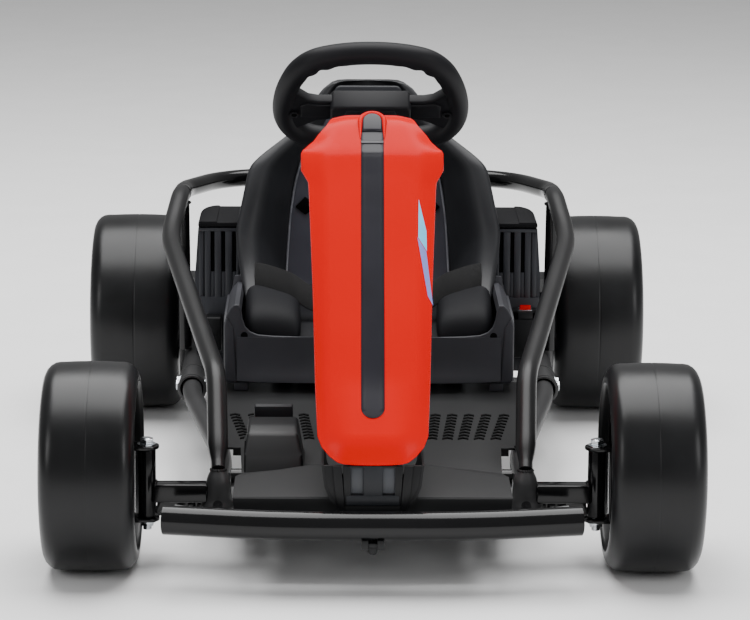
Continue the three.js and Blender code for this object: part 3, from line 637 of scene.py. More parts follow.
def addRibbon(bm, points, across, width, thick):
    # a flat strap along a path, as wide as width in the direction across
    path = finePath(points, 40, step=8)
    across = Vector(across).normalized() * width / 2
    rows = []
    for i, p in enumerate(path):
        run = (path[min(i + 1, len(path) - 1)] - path[max(i - 1, 0)]).normalized()
        up = run.cross(across).normalized() * thick / 2
        rows.append([p - across - up * 0.4, p - across * 0.94 - up, p + across * 0.94 - up,
                     p + across - up * 0.4,
                     p + across + up * 0.4, p + across * 0.94 + up, p - across * 0.94 + up,
                     p - across + up * 0.4])
    grid = addSheet(bm, rows, closed=True)
    bm.faces.new(grid[0])
    bm.faces.new(grid[-1])


# ---- fairing ----

fairing = {
    # y, z, half width, half width of the middle panel, how far the edge drops behind it
    "rows": [(-90, 147.2, 20, 12, 0.5), (-89.6, 148, 34, 22, 1.5), (-88, 150.2, 42, 28, 3),
             (-84, 155, 50, 35, 5),
             (-78, 163, 58.5, 42, 8), (-70.5, 173, 63.5, 47, 11), (-32, 224, 66.5, 51, 13),
             (39.5, 320, 70, 52, 14),
             (118, 425, 75.5, 53.5, 15), (124, 433, 76.5, 54, 15.5), (133, 445, 85, 56, 20),
             (146, 463, 85, 55.5, 20),
             (150, 468, 83, 54.5, 19), (166, 480, 76, 49, 15), (182, 491.5, 66, 44, 10),
             (192, 498, 56, 38, 6),
             (204, 501.5, 51, 34, 4), (226, 500.5, 48, 32, 4)],
    "chin": 9, "chinZ": 173, "stripe": 13.6, "stripeLow": 194, "wall": 3,
}


def fairingSpot(at, x, lift=0):
    # a point of the outer face; at counts along the rows above
    rows = fairing["rows"]
    i = min(int(at), len(rows) - 2)
    t = at - i
    y, z, w, f, drop = (p + (q - p) * t for p, q in zip(rows[i], rows[i + 1]))
    a = abs(x)
    slope = drop / max(1, w - f)
    soft = 3.5
    fall = slope * soft * math.log1p(math.exp(min(30, (a - f) / soft)))
    lean = min(1, max(0, (y - 148) / 42))
    chin = fairing["chin"] * min(1, max(0, (47 - a) / 22))
    if z <= fairing["chinZ"]:
        chin *= max(0, (z - 149) / (fairing["chinZ"] - 149))
    else:
        chin *= max(0, 1 - (z - fairing["chinZ"]) / 60)
    push = fall - chin - lift
    tilt = lean * math.pi / 2
    return Vector((x, y + push * math.cos(tilt), z - (fall - lift) * math.sin(tilt)))


def makeFairing():
    rows = fairing["rows"]
    last = len(rows) - 1
    steps = []
    for i in range(last):
        parts = max(1, round(math.dist(rows[i][:2], rows[i + 1][:2]) / 9))
        steps += [i + k / parts for k in range(parts)]
    steps.append(last)
    grid = []
    for at in steps:
        i = min(int(at), last - 1)
        y, z, w, f, _ = (p + (q - p) * (at - i) for p, q in zip(rows[i], rows[i + 1]))
        wallY = between([(147, -30), (190, 20), (330, 120), (446, 230), (600, 232)], z)[1]
        wallZ = z if z < 446 else 446 + (z - 446) * 0.55 + max(0, y - 192) * 0.4
        shares = [0, 0.09, 0.18, 0.3, 0.45, 0.6, 0.8, 0.93, 1, 1.08]
        xs = [f * q for q in shares] + [f + (w - f) * q for q in (0.3, 0.5, 0.75, 0.9, 0.97)]
        half = [fairingSpot(at, x) for x in xs]
        edge = fairingSpot(at, w)
        half += [Vector((w, edge.y + 1.6, edge.z - (1.6 if y > 170 else 0)))]
        back = Vector((w - 1, max(wallY, edge.y + 12), wallZ if wallZ < edge.z else edge.z))
        half += [half[-1].lerp(back, 0.25), half[-1].lerp(back, 0.6), back]
        grid.append([Vector((-p.x, p.y, p.z)) for p in reversed(half)] + half[1:])
    bm = bmesh.new()
    addSheet(bm, grid, thickness=fairing["wall"])
    # raised horseshoe round the badge at the top
    loop = [(14.2 * math.cos(math.pi * i / 24), 14.2 * math.sin(math.pi * i / 24)) for i in range(25)]
    loop = [(14.4, -27), (14.2, -12)] + loop + [(-14.2, -12), (-14.4, -27)]
    base = Vector((0, 189, 497.5))
    along, lift = Vector((0, 0.8, 0.6)), Vector((0, -0.6, 0.8))
    addTube(bm, [base + Vector((1, 0, 0)) * x + along * v for x, v in loop], 3.6, sides=16,
            shape=lambda t: 0.2 + 0.8 * min(1, 3.4 * min(t, 1 - t)))
    mound = [base + Vector((x * 1.02, 0, 0)) + along * v for x, v in loop[1:-1]]
    addSheet(bm, [[p - lift * 9 + along * 2 for p in mound], mound])
    finishPiece(bm, "front_fairing", redGloss, smooth=40)

    half = fairing["stripe"]
    low = next(at for at in steps if fairingSpot(at, 0).z >= fairing["stripeLow"] - 3)
    top = 14.2
    grid = []
    for share in [(i / 40) ** 2 * 0.04 for i in range(40)] + [0.04 + 0.96 * i / 60 for i in range(61)]:
        at = low + (top - low) * share
        start = (fairingSpot(at, 0) - fairingSpot(low, 0)).length
        w = half if start > half else math.sqrt(max(0.01, half * half - (half - start) ** 2))
        crown = ((-1, 0.1), (-0.97, 0.7), (-0.5, 0.9), (0, 1), (0.5, 0.9), (0.97, 0.7), (1, 0.1))
        grid.append([fairingSpot(at, w * q, lift) for q, lift in crown])
    bm = bmesh.new()
    addSheet(bm, grid)
    band = 12.66  # a moulded step across the stripe, under the badge
    rows = [[fairingSpot(band + k * 0.1, half * q, 1 + 1.1 * h) for q in (-0.97, -0.3, 0.3, 0.97)] for k,
            h in
            ((0, 0), (0.4, 1), (1.6, 1), (2.2, 0))]
    addSheet(bm, rows)
    badge = bmesh.new()
    outline = [(12.5 * math.cos(math.pi * i / 20),
                12.5 * math.sin(math.pi * i / 20)) for i in range(21)] + [(-12.5, -16), (12.5, -16)]
    addPlate(badge, outline, "z", -3, 4.5, bevel=2.6, segments=4)
    for v in badge.verts:
        v.co = base + Vector((v.co.x, 0, 0)) + along * v.co.y + lift * (v.co.z - 0.012 * v.co.x ** 2)
    moveInto(bm, badge)
    finishPiece(bm, "fairing_stripe", stripeFilm, smooth=60)

    # painted reflection in pale blue and violet, on one side facet only
    def patch(name, finish, corners):
        flat = bmesh.new()
        first, second, third, fourth = (Vector(corner) for corner in corners)
        rows = []
        for i in range(9):
            t = i / 8
            start, end = (a.lerp(b, t) for a, b in ((first, fourth), (second, third)))
            rows.append([fairingSpot(*start.lerp(end, k / 4), 0.35) for k in range(5)])
        addSheet(flat, rows)
        finishPiece(flat, name, finish, smooth=60)
    patch("reflection_pale", paleBlueReflection, [(7.93, 54.5), (7.6, 63.4), (7.4, 63.8), (7.55, 53.6)])
    patch("reflection_violet", violetReflection, [(7.55, 52.6), (7.4, 63), (6.84, 70.6), (6.95, 64.5)])


# ---- column cover, steering support and floor tray ----

cover = {"front": -88, "outline": [(33, 86), (49, 106), (55, 120), (58.5, 146.6)]}


def makeColumnCover():
    bm = bmesh.new()
    front = cover["front"]
    outline = [(-x, z) for x, z in reversed(cover["outline"])] + cover["outline"]
    addSheet(bm, [[Vector((x, y, z)) for x, z in outline] for y in (front + 1, -60, -20, 30)],
             thickness=2.5)
    # stepped front face: outer wings, then steps, pillars and the foot block
    for s in (-1, 1):
        for outline, near, far, bevel in (
                ([(38, 92), (47.5, 106), (53.5, 120), (57, 146), (44, 146), (41, 112)], 1.5, 5, 0.8),
                ([(31, 88), (39, 94), (43, 112), (46, 146), (36, 146), (33, 112)], -0.4, 4, 0.8),
                ([(25.4, 99), (32, 99), (34.4, 146), (25.4, 146)], -1.2, 5, 1)):
            addPlate(bm, onSide(s, outline), "y", front + near, front + far, bevel=bevel)
    addBox(bm, (-32, front + 0.5, 87), (32, front + 5, 99), bevel=1)
    addBox(bm, (-26, front - 0.8, 143.5), (26, front + 4, 146.4), bevel=0.7)
    finishPiece(bm, "column_cover", blackPlastic)
    bm = bmesh.new()
    for s in (-1, 1):
        addBox(bm, (s * 10.2, front + 1.8, 113), (s * 25.8, front + 4.6, 146), bevel=0.5)
    finishPiece(bm, "cover_insets", slateInset)
    bm = bmesh.new()
    addBox(bm, (-11, front - 1.2, 108), (11, front + 5, 146.2), bevel=1)
    addBox(bm, (-30.5, front - 1.5, 99.5), (30.5, front + 5, 111.5), bevel=1.2)
    for s in (-1, 1):
        addBox(bm, (s * 25, front - 0.8, 100), (s * 30.5, front + 5, 146), bevel=0.8)
    finishPiece(bm, "cover_pillars", darkSlate)


column = {"tilt": math.radians(42), "y": 385, "z": 490, "length": 596, "radius": 8, "reach": 26}


def onColumn(distance, down=0, x=0):
    ca, sa = math.cos(column["tilt"]), math.sin(column["tilt"])
    return Vector((x, column["y"] + ca * distance + sa * down, column["z"] + sa * distance - ca * down))


def makeSteeringShaft():
    low = -column["length"]
    bm = bmesh.new()
    addRod(bm, onColumn(low), onColumn(-24), column["radius"], sides=32, bevel=0.6)
    addRod(bm, onColumn(low + 1), onColumn(low + 9), 13, sides=32, bevel=0.8)
    reach = column["reach"]
    addRod(bm, onColumn(low + 5), onColumn(low + 5, reach), 6.6, sides=20, bevel=1)
    addRod(bm, onColumn(low - 4, reach), onColumn(low + 9, reach), 4, sides=24, bevel=0.5)
    addRod(bm, onColumn(low + 9.2, reach), onColumn(low + 9.8, reach), 6, sides=24)
    finishPiece(bm, "steering_shaft", zincPlate, "steering")

    bm = bmesh.new()
    path = finePath([(0, 60, 111), (0, 90, 150), (0, 322, 393)], 30)
    addTube(bm, path, 11, sides=24)
    addRod(bm, (-165.6, 48, 95), (165.6, 48, 95), 11, sides=28)
    for at in (-96, -480):
        for dx in (9.2, -9.2):  # two cheeks beside the shaft, so that it turns freely
            addRod(bm, onColumn(at - 11, 0, dx), onColumn(at + 11, 0, dx), 2.6, sides=16, bevel=0.6)
        addTube(bm, circle(onColumn(at), xAxis, onColumn(at, 1) - onColumn(at), 10.6), 2, sides=10)
    addPlate(bm, [(-7, 302), (7, 302), (7, 318), (-7, 318)], "z", 372, 408, bevel=0.8)
    for s in (1, -1):
        addPlate(bm, [(34, 106), (62, 106), (40, 160), (20, 160)], "x", s * 11.2, s * 14, bevel=0.6)
    addBox(bm, (-18, 34, 103), (18, 72, 112), bevel=1.5)
    addBox(bm, (-20, -82, 147.4), (20, 40, 150.6), bevel=0.8)
    addRod(bm, (0, 309, 428), (0, 219, 480), 6, sides=24)
    addBox(bm, (-15, 206, 480), (15, 228, 495.5), bevel=1.5)
    finishPiece(bm, "steering_support", glossBlack)


tray = {"z": 111.2, "thick": 3}


def makeFloorTray():
    bm = bmesh.new()
    z = tray["z"]
    outline = [(152, 9), (156.8, 127), (173.6, 129), (180.6, 160), (190.6, 300), (205.5, 430), (205.5, 470)]
    addPlate(bm, mirrored(outline), "z", z - tray["thick"], z, bevel=0.7)
    for s in (-1, 1):
        # raised front: lip, ramp up to a slanting crease, then down to the floor
        rows = [
            [(36.5, -80, 88), (100, -80.5, 88), (158, -79, 88)],
            [(48.5, -80, 105), (104, -80.5, 105), (160, -79, 105)],
            [(50, -78.4, 107), (105, -78.8, 107), (160, -77.4, 106.4)],
            [(57.5, -8, 127.2), (108, -8, 119.2), (159, -8, 111.8)],
            [(59, -4.6, 126.8), (108, -5, 118.8), (158, -5, 111.6)],
            [(62, 25, 113), (108, 23, 112.2), (152, 8, 111.3)],
            [(62.5, 32, 111.3), (106, 30, 111.3), (150, 12, 111.2)],
        ]
        addSheet(bm, [onSide(s, row) for row in rows], thickness=2.6)
        # upright edge beside the column cover
        wall = [onSide(s, [(50.4, -77, 107), (57.5, -8, 127), (62, 28, 112)]),
                onSide(s, [(40, -77, 92), (50, -8, 100), (62, 28, 100)])]
        addSheet(bm, wall, thickness=2)
        # rib along the outer edge
        edge = onSide(s,
                      [(174, 131, 112), (180, 160, 112), (190, 300, 112), (205, 430, 112), (205, 466, 112)])
        addTube(bm, finePath(edge, 10, step=30), 1.5, sides=8)
        addBox(bm, (s * 155.6, 127, 101), (s * 166, 130, 110.6), bevel=0.6)
    finishPiece(bm, "floor_tray", trayPlastic)

    bm = bmesh.new()  # rows of arrow-shaped treads in front of the seat, near black as painted shade of their embossing
    for s in (-1, 1):
        for start in (75, 94, 113, 132.5, 153):
            for row in range(9):
                y = 172 + row * 14.5
                x = s * start * (1 + 0.0009 * (y - 176))
                for lean in (-1, 1):
                    corners = [(-0.2, 0), (6.4, -5.2), (6.4, 0.6), (-0.2, 6)]
                    addPlate(bm, [(x + lean * px, y + py) for px, py in corners], "z", z - 0.2, z + 1.3)
    finishPiece(bm, "tray_treads", treadShade, smooth=30)


# ---- steering wheel ----

wheelRim = {"halfWidth": 109.5, "up": 99, "down": 70, "tube": 14, "bump": 0.13}


def onWheel(x, y, z=0):
    # x across, y down the wheel's face, z along the shaft towards the driver
    ca, sa = math.cos(column["tilt"]), math.sin(column["tilt"])
    return Vector((x, column["y"] + sa * y + ca * z, column["z"] - ca * y + sa * z))


def makeSteeringWheel():
    w, h, d = wheelRim["halfWidth"], wheelRim["up"], wheelRim["down"]
    corners = [(w, -20), (w, d * 0.5), (w * 0.7, d), (-w * 0.7, d), (-w, d * 0.5), (-w, -20),
               (-w * 0.78, -h * 0.82), (-w * 0.3, -h), (w * 0.3, -h), (w * 0.78, -h * 0.82)]
    loop = []
    for i, c in enumerate(corners):
        c = Vector(c)
        a = Vector(corners[i - 1]).lerp(c, 0.5)
        b = c.lerp(Vector(corners[(i + 1) % len(corners)]), 0.5)
        for k in range(14):
            t = k / 14
            loop.append(a * (1 - t) ** 2 + c * 2 * t * (1 - t) + b * t * t)
    count = len(loop)
    rows = []
    for i in range(count):
        p = loop[i]
        run = (loop[(i + 1) % count] - loop[i - 1]).normalized()
        out = Vector((run.y, -run.x))
        if out.dot(p) < 0:
            out = -out
        # finger bumps on the inner side near the two upper corners
        angle = math.degrees(math.atan2(-p.y, abs(p.x)))
        near = math.exp(-(((angle - 50) / 15) ** 2))
        ring = []
        for k in range(24):
            a = math.tau * k / 24
            inward = max(0, -math.cos(a))
            wave = 1 + math.sin(math.radians(angle * 26))
            r = wheelRim["tube"] * (1 + wheelRim["bump"] * near * inward * wave)
            ring.append(onWheel(p.x + out.x * r * math.cos(a), p.y + out.y * r * math.cos(a),
                                r * math.sin(a) * 1.03))
        rows.append(ring)
    bm = bmesh.new()
    addSheet(bm, rows + [rows[0]], closed=True)

    def addFacePlate(points, low, high, bevel):
        flat = bmesh.new()
        addPlate(flat, points, "z", low, high, bevel=bevel, segments=3)
        for v in flat.verts:
            v.co = onWheel(*v.co)
        moveInto(bm, flat)
    for s in (-1, 1):
        spoke = [(46, -15), (66, -15), (78, -18), (92, -31), (104, -36), (106, 36), (97, 42), (80, 30),
                 (66, 22),
                 (46, 19)]
        addFacePlate(onSide(s, spoke), -9.5, 5, 3)
        rib = [(46, -11), (66, -11), (80, -14), (88, -10), (88, 12), (76, 12), (46, 11)]
        addFacePlate(onSide(s, rib), -12.5, -8, 2)
        ring = circle(onWheel(s * 96, 6, -13.2), xAxis, onWheel(0, 1) - onWheel(0, 0), 4.6, 24)
        addTube(bm, ring, 1.1, sides=8)
    finishPiece(bm, "steering_wheel_rim", wheelPlastic, "steering", smooth=50)

    bm = bmesh.new()
    flat = bmesh.new()
    addPlate(flat, [(-46, -18), (46, -18), (50.5, -13), (50.5, 15), (44, 22), (-44, 22), (-50.5, 15),
                    (-50.5, -13)], "z", -21, 9,
             bevel=3, segments=4)
    addPlate(flat, [(-30, -13), (30, -13), (34, 0), (30, 16), (-30, 16), (-34, 0)], "z", -22.4, -18,
             bevel=1.6)
    addPlate(flat, roundedOutline(34, 14, 10), "z", 2, 13, bevel=4, segments=4)
    for v in flat.verts:
        v.co = onWheel(*v.co)
    moveInto(bm, flat)
    finishPiece(bm, "steering_wheel_hub", wheelPlastic, "steering", smooth=50)
    bm = bmesh.new()
    for s in (-1, 1):  # screw recesses, seen from below the spokes, filled with painted shade
        addRod(bm, onWheel(s * 96, 6, -10.5), onWheel(s * 96, 6, -13.3), 3.6, sides=20)
        addRod(bm, onWheel(s * 58, 66, -13.4), onWheel(s * 58, 66, -14.6), 2.6, sides=20)
    finishPiece(bm, "wheel_screws", openingShade, "steering")


# ---- steering linkage ----

kingpin = {"x": 262, "tube": 10.5, "low": 57, "high": 147.5, "armX": 244, "armY": 42, "armZ": 69}


def makeKnuckles():
    x, low, high = kingpin["x"], kingpin["low"], kingpin["high"]
    for name, s in both:
        body = f"knuckle_{name}_body"
        bm = bmesh.new()
        for z in (low, high - 4):
            angles = [math.pi / 2 + math.pi * i / 14 for i in range(15)]
            outline = [(s * (x + 14.5 * math.cos(a)), 14.5 * math.sin(a)) for a in angles]
            outline += onSide(s, [(280, -14.5), (280, 14.5)])
            addPlate(bm, outline, "z", z, z + 4, bevel=1)
        addBox(bm, (s * 276, -14.5, low), (s * 280, 14.5, high), bevel=1)
        addPlate(bm,
                 onSide(s, [(256, 2), (275, 6), (253, 50), (247, 54), (240, 53), (235.5, 46), (236, 38)]),
                 "z", low, low + 4, bevel=0.8)
        addRod(bm, (s * 279, 0, 122), (s * 290, 0, 122), 10, sides=32, bevel=1)
        addRod(bm, (s * 289, 0, 122), (s * 367.6, 0, 122), 6, sides=32, bevel=1)
        weldBead(bm, (s * 280.6, 0, 122), (1, 0, 0), 10.4, thick=1.6)
        finishPiece(bm, "knuckle_" + name, glossBlack, body)
        bm = bmesh.new()
        addRod(bm, (s * x, 0, 46), (s * x, 0, 155), 5, sides=28, bevel=0.6)
        addRod(bm, (s * x, 0, high + 0.3), (s * x, 0, high + 1.6), 10.8, sides=36)
        addHex(bm, (s * x, 0, high + 1.6), (0, 0, 1), 8.4, 6)
        addRod(bm, (s * x, 0, high + 7.4), (s * x, 0, high + 8.6), 6.6, 5.4, sides=28)
        addHex(bm, (s * x, 0, low - 0.3), (0, 0, -1), 8.4, 6)
        addRod(bm, (s * x, 0, low - 1.8), (s * x, 0, low - 0.3), 10.4, sides=36)
        finishPiece(bm, "kingpin_bolt_" + name, zincPlate, body)
        bm = bmesh.new()
        at = Vector((s * kingpin["armX"], kingpin["armY"], 0))
        addRod(bm, (at.x, at.y, 61), (at.x, at.y, 80), 3.4, sides=24, bevel=0.4)
        addHex(bm, (at.x, at.y, 74), (0, 0, 1), 6.2, 4.4)
        addHex(bm, (at.x, at.y, 56.8), (0, 0, -1), 6.2, 4.4)
        finishPiece(bm, "steering_arm_bolt_" + name, zincPlate, body)

        inner = onColumn(-column["length"] - 2, column["reach"])
        near = Vector((s * 21, inner.y + 4, inner.z - 1.5))
        outer = Vector((s * kingpin["armX"], kingpin["armY"], kingpin["armZ"]))
        far = Vector((outer.x - s * 8, outer.y - 3, outer.z))
        bm = bmesh.new()
        addRod(bm, near, far, 4.2, sides=24)
        addRod(bm, near, near.lerp(far, 0.1), 5.4, sides=6, bevel=0.4)
        addRod(bm, far.lerp(near, 0.02), far.lerp(near, 0.1), 5.6, sides=6, bevel=0.4)
        addRod(bm, far.lerp(near, 0.13), far.lerp(near, 0.155), 7, sides=6, bevel=0.4)
        boss = [(4, -4), (8, -4), (9, -2), (9, 2), (8, 4), (4, 4)]
        spinPoints(bm, [(outer.x + r, outer.y, outer.z + up) for r, up in boss], outer, zAxis, 36)
        finishPiece(bm, "tie_rod_" + name, glossBlack, f"tie_rod_{name}_body")


def makeWheelNuts():
    for end, kind in wheelKinds.items():
        face = halfTrack - kind["web"] + 6
        for name, s in both:
            owner = f"knuckle_{name}_body" if end == "front" else "chassis"
            centre = Vector((s * (face + 0.4), kind["y"], kind["radius"]))
            bm = bmesh.new()
            addTurned(bm, [(6.2, 0), (11.5, 0), (11.5, 1.4), (6.2, 1.4)], centre, 36, s)
            addRod(bm, centre + xAxis * s * 1.4, centre + xAxis * s * 8, 9.8, sides=6, bevel=0.8)
            addRod(bm, centre + xAxis * s * 8, centre + xAxis * s * 10.5, 8, 6.8, sides=28)
            nut = f"{end}_wheel_nut_{name}"
            finishPiece(bm, nut, zincPlate, owner)


# ---- seat ----

seat = {
    # spine y and z, lip y and z, back y and z, half width
    "rows": [
        (424, 161, 424, 179, 424, 152, 150), (446, 164, 438, 190, 436, 151, 154),
             (530, 162, 503, 200, 520, 150, 158),
        (590, 159, 546, 222, 600, 150, 166), (640, 163, 571, 250, 664, 152, 173),
             (671, 189, 589, 285, 710, 174, 177.5),
        (674, 196, 593, 295, 715, 183, 177.5), (684, 242, 606, 325, 733, 240, 170.5),
             (695, 300, 620, 352, 746, 300, 164.5),
        (701, 338, 629, 367, 752, 338, 161), (703, 346, 634, 375, 753, 346, 155),
             (707, 360, 646, 386, 756, 360, 141),
        (712, 380, 663, 402, 760, 380, 116), (717, 402, 680, 418, 763, 402, 92),
             (722, 430, 696, 438, 765, 432, 76),
        (726, 452, 706, 458, 763, 455, 68), (729, 466, 714, 470, 757, 468, 54)],
    "profile": [(0, 1), (0.3, 1), (0.5, 0.95), (0.64, 0.74), (0.75, 0.32), (0.81, 0.1), (0.87, 0.015),
                (0.965, 0),
                (0.995, 0.03), (1, 0.08), (0.985, 0.15)],
}


def seatSection(row):
    sy, sz, ly, lz, ky, kz, w = row
    half = []
    for q, d in seat["profile"]:
        half.append(Vector((q * w, ly + (sy - ly) * d, lz + (sz - lz) * d)))
    for q, d in ((0.95, 0.17), (0.935, 0.55), (0.92, 0.92), (0.86, 1), (0.5, 1), (0, 1)):
        half.append(Vector((q * w, ly + (ky - ly) * d, lz + (kz - lz) * d)))
    return half + [Vector((-p.x, p.y, p.z)) for p in reversed(half[1:-1])]


def makeSeat():
    bm = bmesh.new()
    rows = [seatSection(row) for row in seat["rows"]]
    first = [p.lerp(sum(rows[0], Vector()) / len(rows[0]), 0.06) + Vector((0, -0.8, 0)) for p in rows[0]]
    last = [p.lerp(sum(rows[-1], Vector()) / len(rows[-1]), 0.3) + Vector((0, 0, 3.6)) for p in rows[-1]]
    grid = addSheet(bm, [first] + rows + [last], closed=True)
    bm.faces.new(grid[0])
    bm.faces.new(grid[-1])
    for s in (-1, 1):
        addBox(bm, (s * 100, 508, 106.5), (s * 130, 532, 156), bevel=2)
    finishPiece(bm, "seat_shell", seatPlastic, smooth=50, levels=1)

    bm = bmesh.new()
    outline = roundedOutline(46, 16, 9, (0, 451), steps=6)
    addPlate(bm, outline, "y", 0, 7, bevel=2.4, segments=3)
    for v in bm.verts:  # leans with the headrest
        v.co.y += 716 + (v.co.z - 430) * 0.1 - 12
    finishPiece(bm, "headrest_panel", darkPlastic, smooth=50)

    bm = bmesh.new()
    for s in (-1, 1):  # belt slots: a raised diamond of painted shade where the opening is
        addPlate(bm, onSide(s, [(98, 307), (85, 320), (68, 307), (85, 296)]), "y", 668.6, 680, bevel=1)
    finishPiece(bm, "belt_slots", openingShade)


pad = {
    # centre y and z on the seat, half width, thickness, way out of the seat (y, z)
    "rows": [(428, 166, 120, 6, 0, 1), (455, 168, 124, 14, 0, 1), (520, 166, 126, 17, 0, 1),
             (590, 163, 126, 17, -0.1, 1),
             (636, 168, 125, 17, -0.4, 0.9), (663, 190, 123, 17, -0.95, 0.3),
             (678, 236, 121, 17, -0.98, 0.18),
             (689, 290, 117, 17, -0.98, 0.16), (697, 333, 110, 16, -0.98, 0.15),
             (702, 360, 102, 15, -0.98, 0.14),
             (708, 390, 92, 13, -0.98, 0.14), (714, 416, 76, 10, -0.98, 0.13),
             (718, 432, 62, 6, -0.98, 0.12)],
}


def padSpot(row, q, h):
    y, z, w, thick, oy, oz = row
    out = Vector((0, oy, oz)).normalized()
    # lies on the seat, which curls forward to its sides
    curl = max(0, abs(q) * w - 70) ** 2 * 0.0042
    return Vector((q * w, y, z)) + out * (thick * h + curl)


def makePad():
    profile = [(-1, 0.25), (-0.985, 0.55), (-0.93, 0.86), (-0.8, 1), (-0.5, 1.04), (0, 1.06), (0.5, 1.04),
               (0.8, 1), (0.93, 0.86),
               (0.985, 0.55), (1, 0.25), (0.96, -0.02), (0.5, 0), (0, 0), (-0.5, 0), (-0.96, -0.02)]
    rows = [[padSpot(row, q, h) for q, h in profile] for row in pad["rows"]]
    for name, part, finish in (("seat_pad", rows[5:], padVinyl), ("seat_cushion", rows[:6], cushionVinyl)):
        bm = bmesh.new()
        grid = addSheet(bm, part, closed=True)
        bm.faces.new(grid[0])
        bm.faces.new(grid[-1])
        cushion = finishPiece(bm, name, finish, smooth=60, levels=2)
    bm = bmesh.new()
    # piping tubes in light vinyl: the lightness is painted highlight on the real piping
    for inset, radius, lift in ((1, 2.3, 0.62), (0.9, 1.7, 1.0)):
        edge = [padSpot(row, inset, lift) for row in pad["rows"][1:]]
        for s in (1, -1):
            addTube(bm, finePath([(s * p.x, p.y, p.z) for p in edge], 20, step=10), radius, sides=10)
    seam = []  # where the cushion meets the back
    for k in range(21):
        q = -0.92 + 1.84 * k / 20
        a, b = pad["rows"][4], pad["rows"][5]
        seam.append(padSpot(a, q, 1.02).lerp(padSpot(b, q, 1.02), 0.6))
    addTube(bm, seam, 1.5, sides=8)
    finishPiece(bm, "seat_piping", pipingHighlightVinyl, smooth=60)


def makeBolsters():
    # padded thigh supports, one on each side of the cushion
    for name, s in both:
        bm = bmesh.new()
        rows = []
        for y, low, high, wide, middle in ((426, 170, 183, 30, 122), (431, 166, 200, 34, 123),
                                           (446, 164, 214, 37, 124),
                                           (480, 164, 223, 37, 125), (520, 164, 226, 37, 126),
                                           (556, 166, 224, 36, 128), (584, 172, 212, 30, 132)):
            ring = []
            for k in range(16):
                a = math.tau * k / 16
                cx, cz = (math.copysign(abs(c) ** 0.55, c) for c in (math.cos(a), math.sin(a)))
                slope = 5 * cx * max(0, cz)  # the top falls towards the cushion
                ring.append(Vector((s * (middle + wide * cx), y,
                                    (low + high) / 2 + (high - low) / 2 * cz + slope)))
            rows.append(ring)
        grid = addSheet(bm, rows, closed=True)
        bm.faces.new(grid[0])
        bm.faces.new(grid[-1])
        bolster = finishPiece(bm, "seat_bolster_" + name, cushionVinyl, smooth=60, levels=1)


def makeBelts():
    for name, s in both:
        bm = bmesh.new()
        strap = [(160, 590, 224), (152, 560, 236), (128, 530, 237), (98, 516, 229), (84, 516, 217),
                 (56, 524, 203),
                 (26, 528, 198.5)]
        addRibbon(bm, onSide(s, strap), (0, 0.72, 0.69), 40, 2)
        finishPiece(bm, "lap_belt_" + name, beltWebbing)
        bm = bmesh.new()
        addBox(bm, (s * 24, 512, 197.2), (s * 46, 546, 200.4), bevel=1)
        finishPiece(bm, "belt_tongue_" + name, zincPlate)
    bm = bmesh.new()
    for y0, y1, x0, x1 in ((524.4, 545, -26, 26), (510, 524.4, -26, -11.6), (510, 524.4, 11.6, 26),
                           (510, 505.5, -26, 26)):
        addBox(bm, (x0, y0, 189.4), (x1, y1, 203.8), bevel=1.4)
    addBox(bm, (-20, 508, 189.2), (20, 530, 192.4))
    finishPiece(bm, "belt_buckle", blackPlastic)
    bm = bmesh.new()
    addBox(bm, (-10.8, 506.4, 193.6), (10.8, 518.6, 205.8), bevel=1.4, segments=3)
    finishPiece(bm, "buckle_button", redGloss, "belt_button")


skirt = {"front": 415, "half": 187, "low": 122, "shelf": 184, "post": 225}


def makeSkirt():
    h, low, front = skirt["half"], skirt["low"], skirt["front"]
    bm = bmesh.new()
    face = [(h - 5, low), (h, low + 5), (h, 199), (183.5, 210), (178, 220), (173, skirt["post"]),
            (167, skirt["post"]), (164.6, 220),
            (162.6, 206), (159, 196), (153, 189.6), (143, 185.6), (124, skirt["shelf"]),
            (60, skirt["shelf"] - 2)]
    addPlate(bm, mirrored(face), "y", front, front + 5, bevel=1.6, segments=3)
    # the lower half swells forward
    rows = []
    for z, y in ((183, 0.4), (168, -0.6), (156, -1.6), (147, -3), (140, -5), (134, -7.6), (129, -10),
                 (126.6, -10.4), (125.8, -5)):
        rows.append([Vector((x, front + y * (1 - abs(x / 172) ** 4),
                             z)) for x in [-170 + 20 * k for k in range(18)]])
    addSheet(bm, rows, thickness=2)
    for s in (-1, 1):
        flank = [(front + 1, low + 3), (front + 1, 199), (front + 14, 208), (560, 208), (600, 196),
                 (600, low + 3)]
        addPlate(bm, flank, "x", s * (h - 5), s * h, bevel=1.4)
        addBox(bm, (s * 156, front + 2.4, 111.7), (s * 174, front + 24, 124), bevel=1)
        # shoulder that runs back from each post, a facet down the front corner, and a plate at the back
        cap = onSide(s,
                     [(164.6, 214), (167, 224.5), (173, 224.5), (178, 219.5), (183.5, 209.5), (186.8, 199)])
        addSheet(bm, [[(x, front + y, z) for x, z in cap] for y in (2, 150)], thickness=3)
        addPlate(bm, onSide(s, [(170, low + 1), (186.4, low + 4), (186.4, 198), (183, 208), (175, 196)]),
                 "y", front - 2.4, front + 2,
                 bevel=1.8, segments=3)
        addPlate(bm, onSide(s, [(146, low + 3), (183, low + 3), (183, 207), (177, 233), (150, 235),
                                (146, 190)]), "y",
                 front + 150, front + 153, bevel=0.8)
    finishPiece(bm, "seat_skirt", skirtPlastic)
    bm = bmesh.new()
    # skirt holes: rounded plates of painted shade
    for s in (-1, 1):
        addPlate(bm, roundedOutline(4.4, 6.4, 4.3, (s * 160.5, 183)), "y", front - 0.5, front + 1)
    finishPiece(bm, "skirt_holes", openingShade)


# ---- side pods ----

podSize = {"inner": 172, "outer": 233, "front": 622, "back": 748, "low": 113.4, "shelf": 286.6, "high": 296,
           "wide": 217, "vents": (179.8, 194.4, 208.8)}


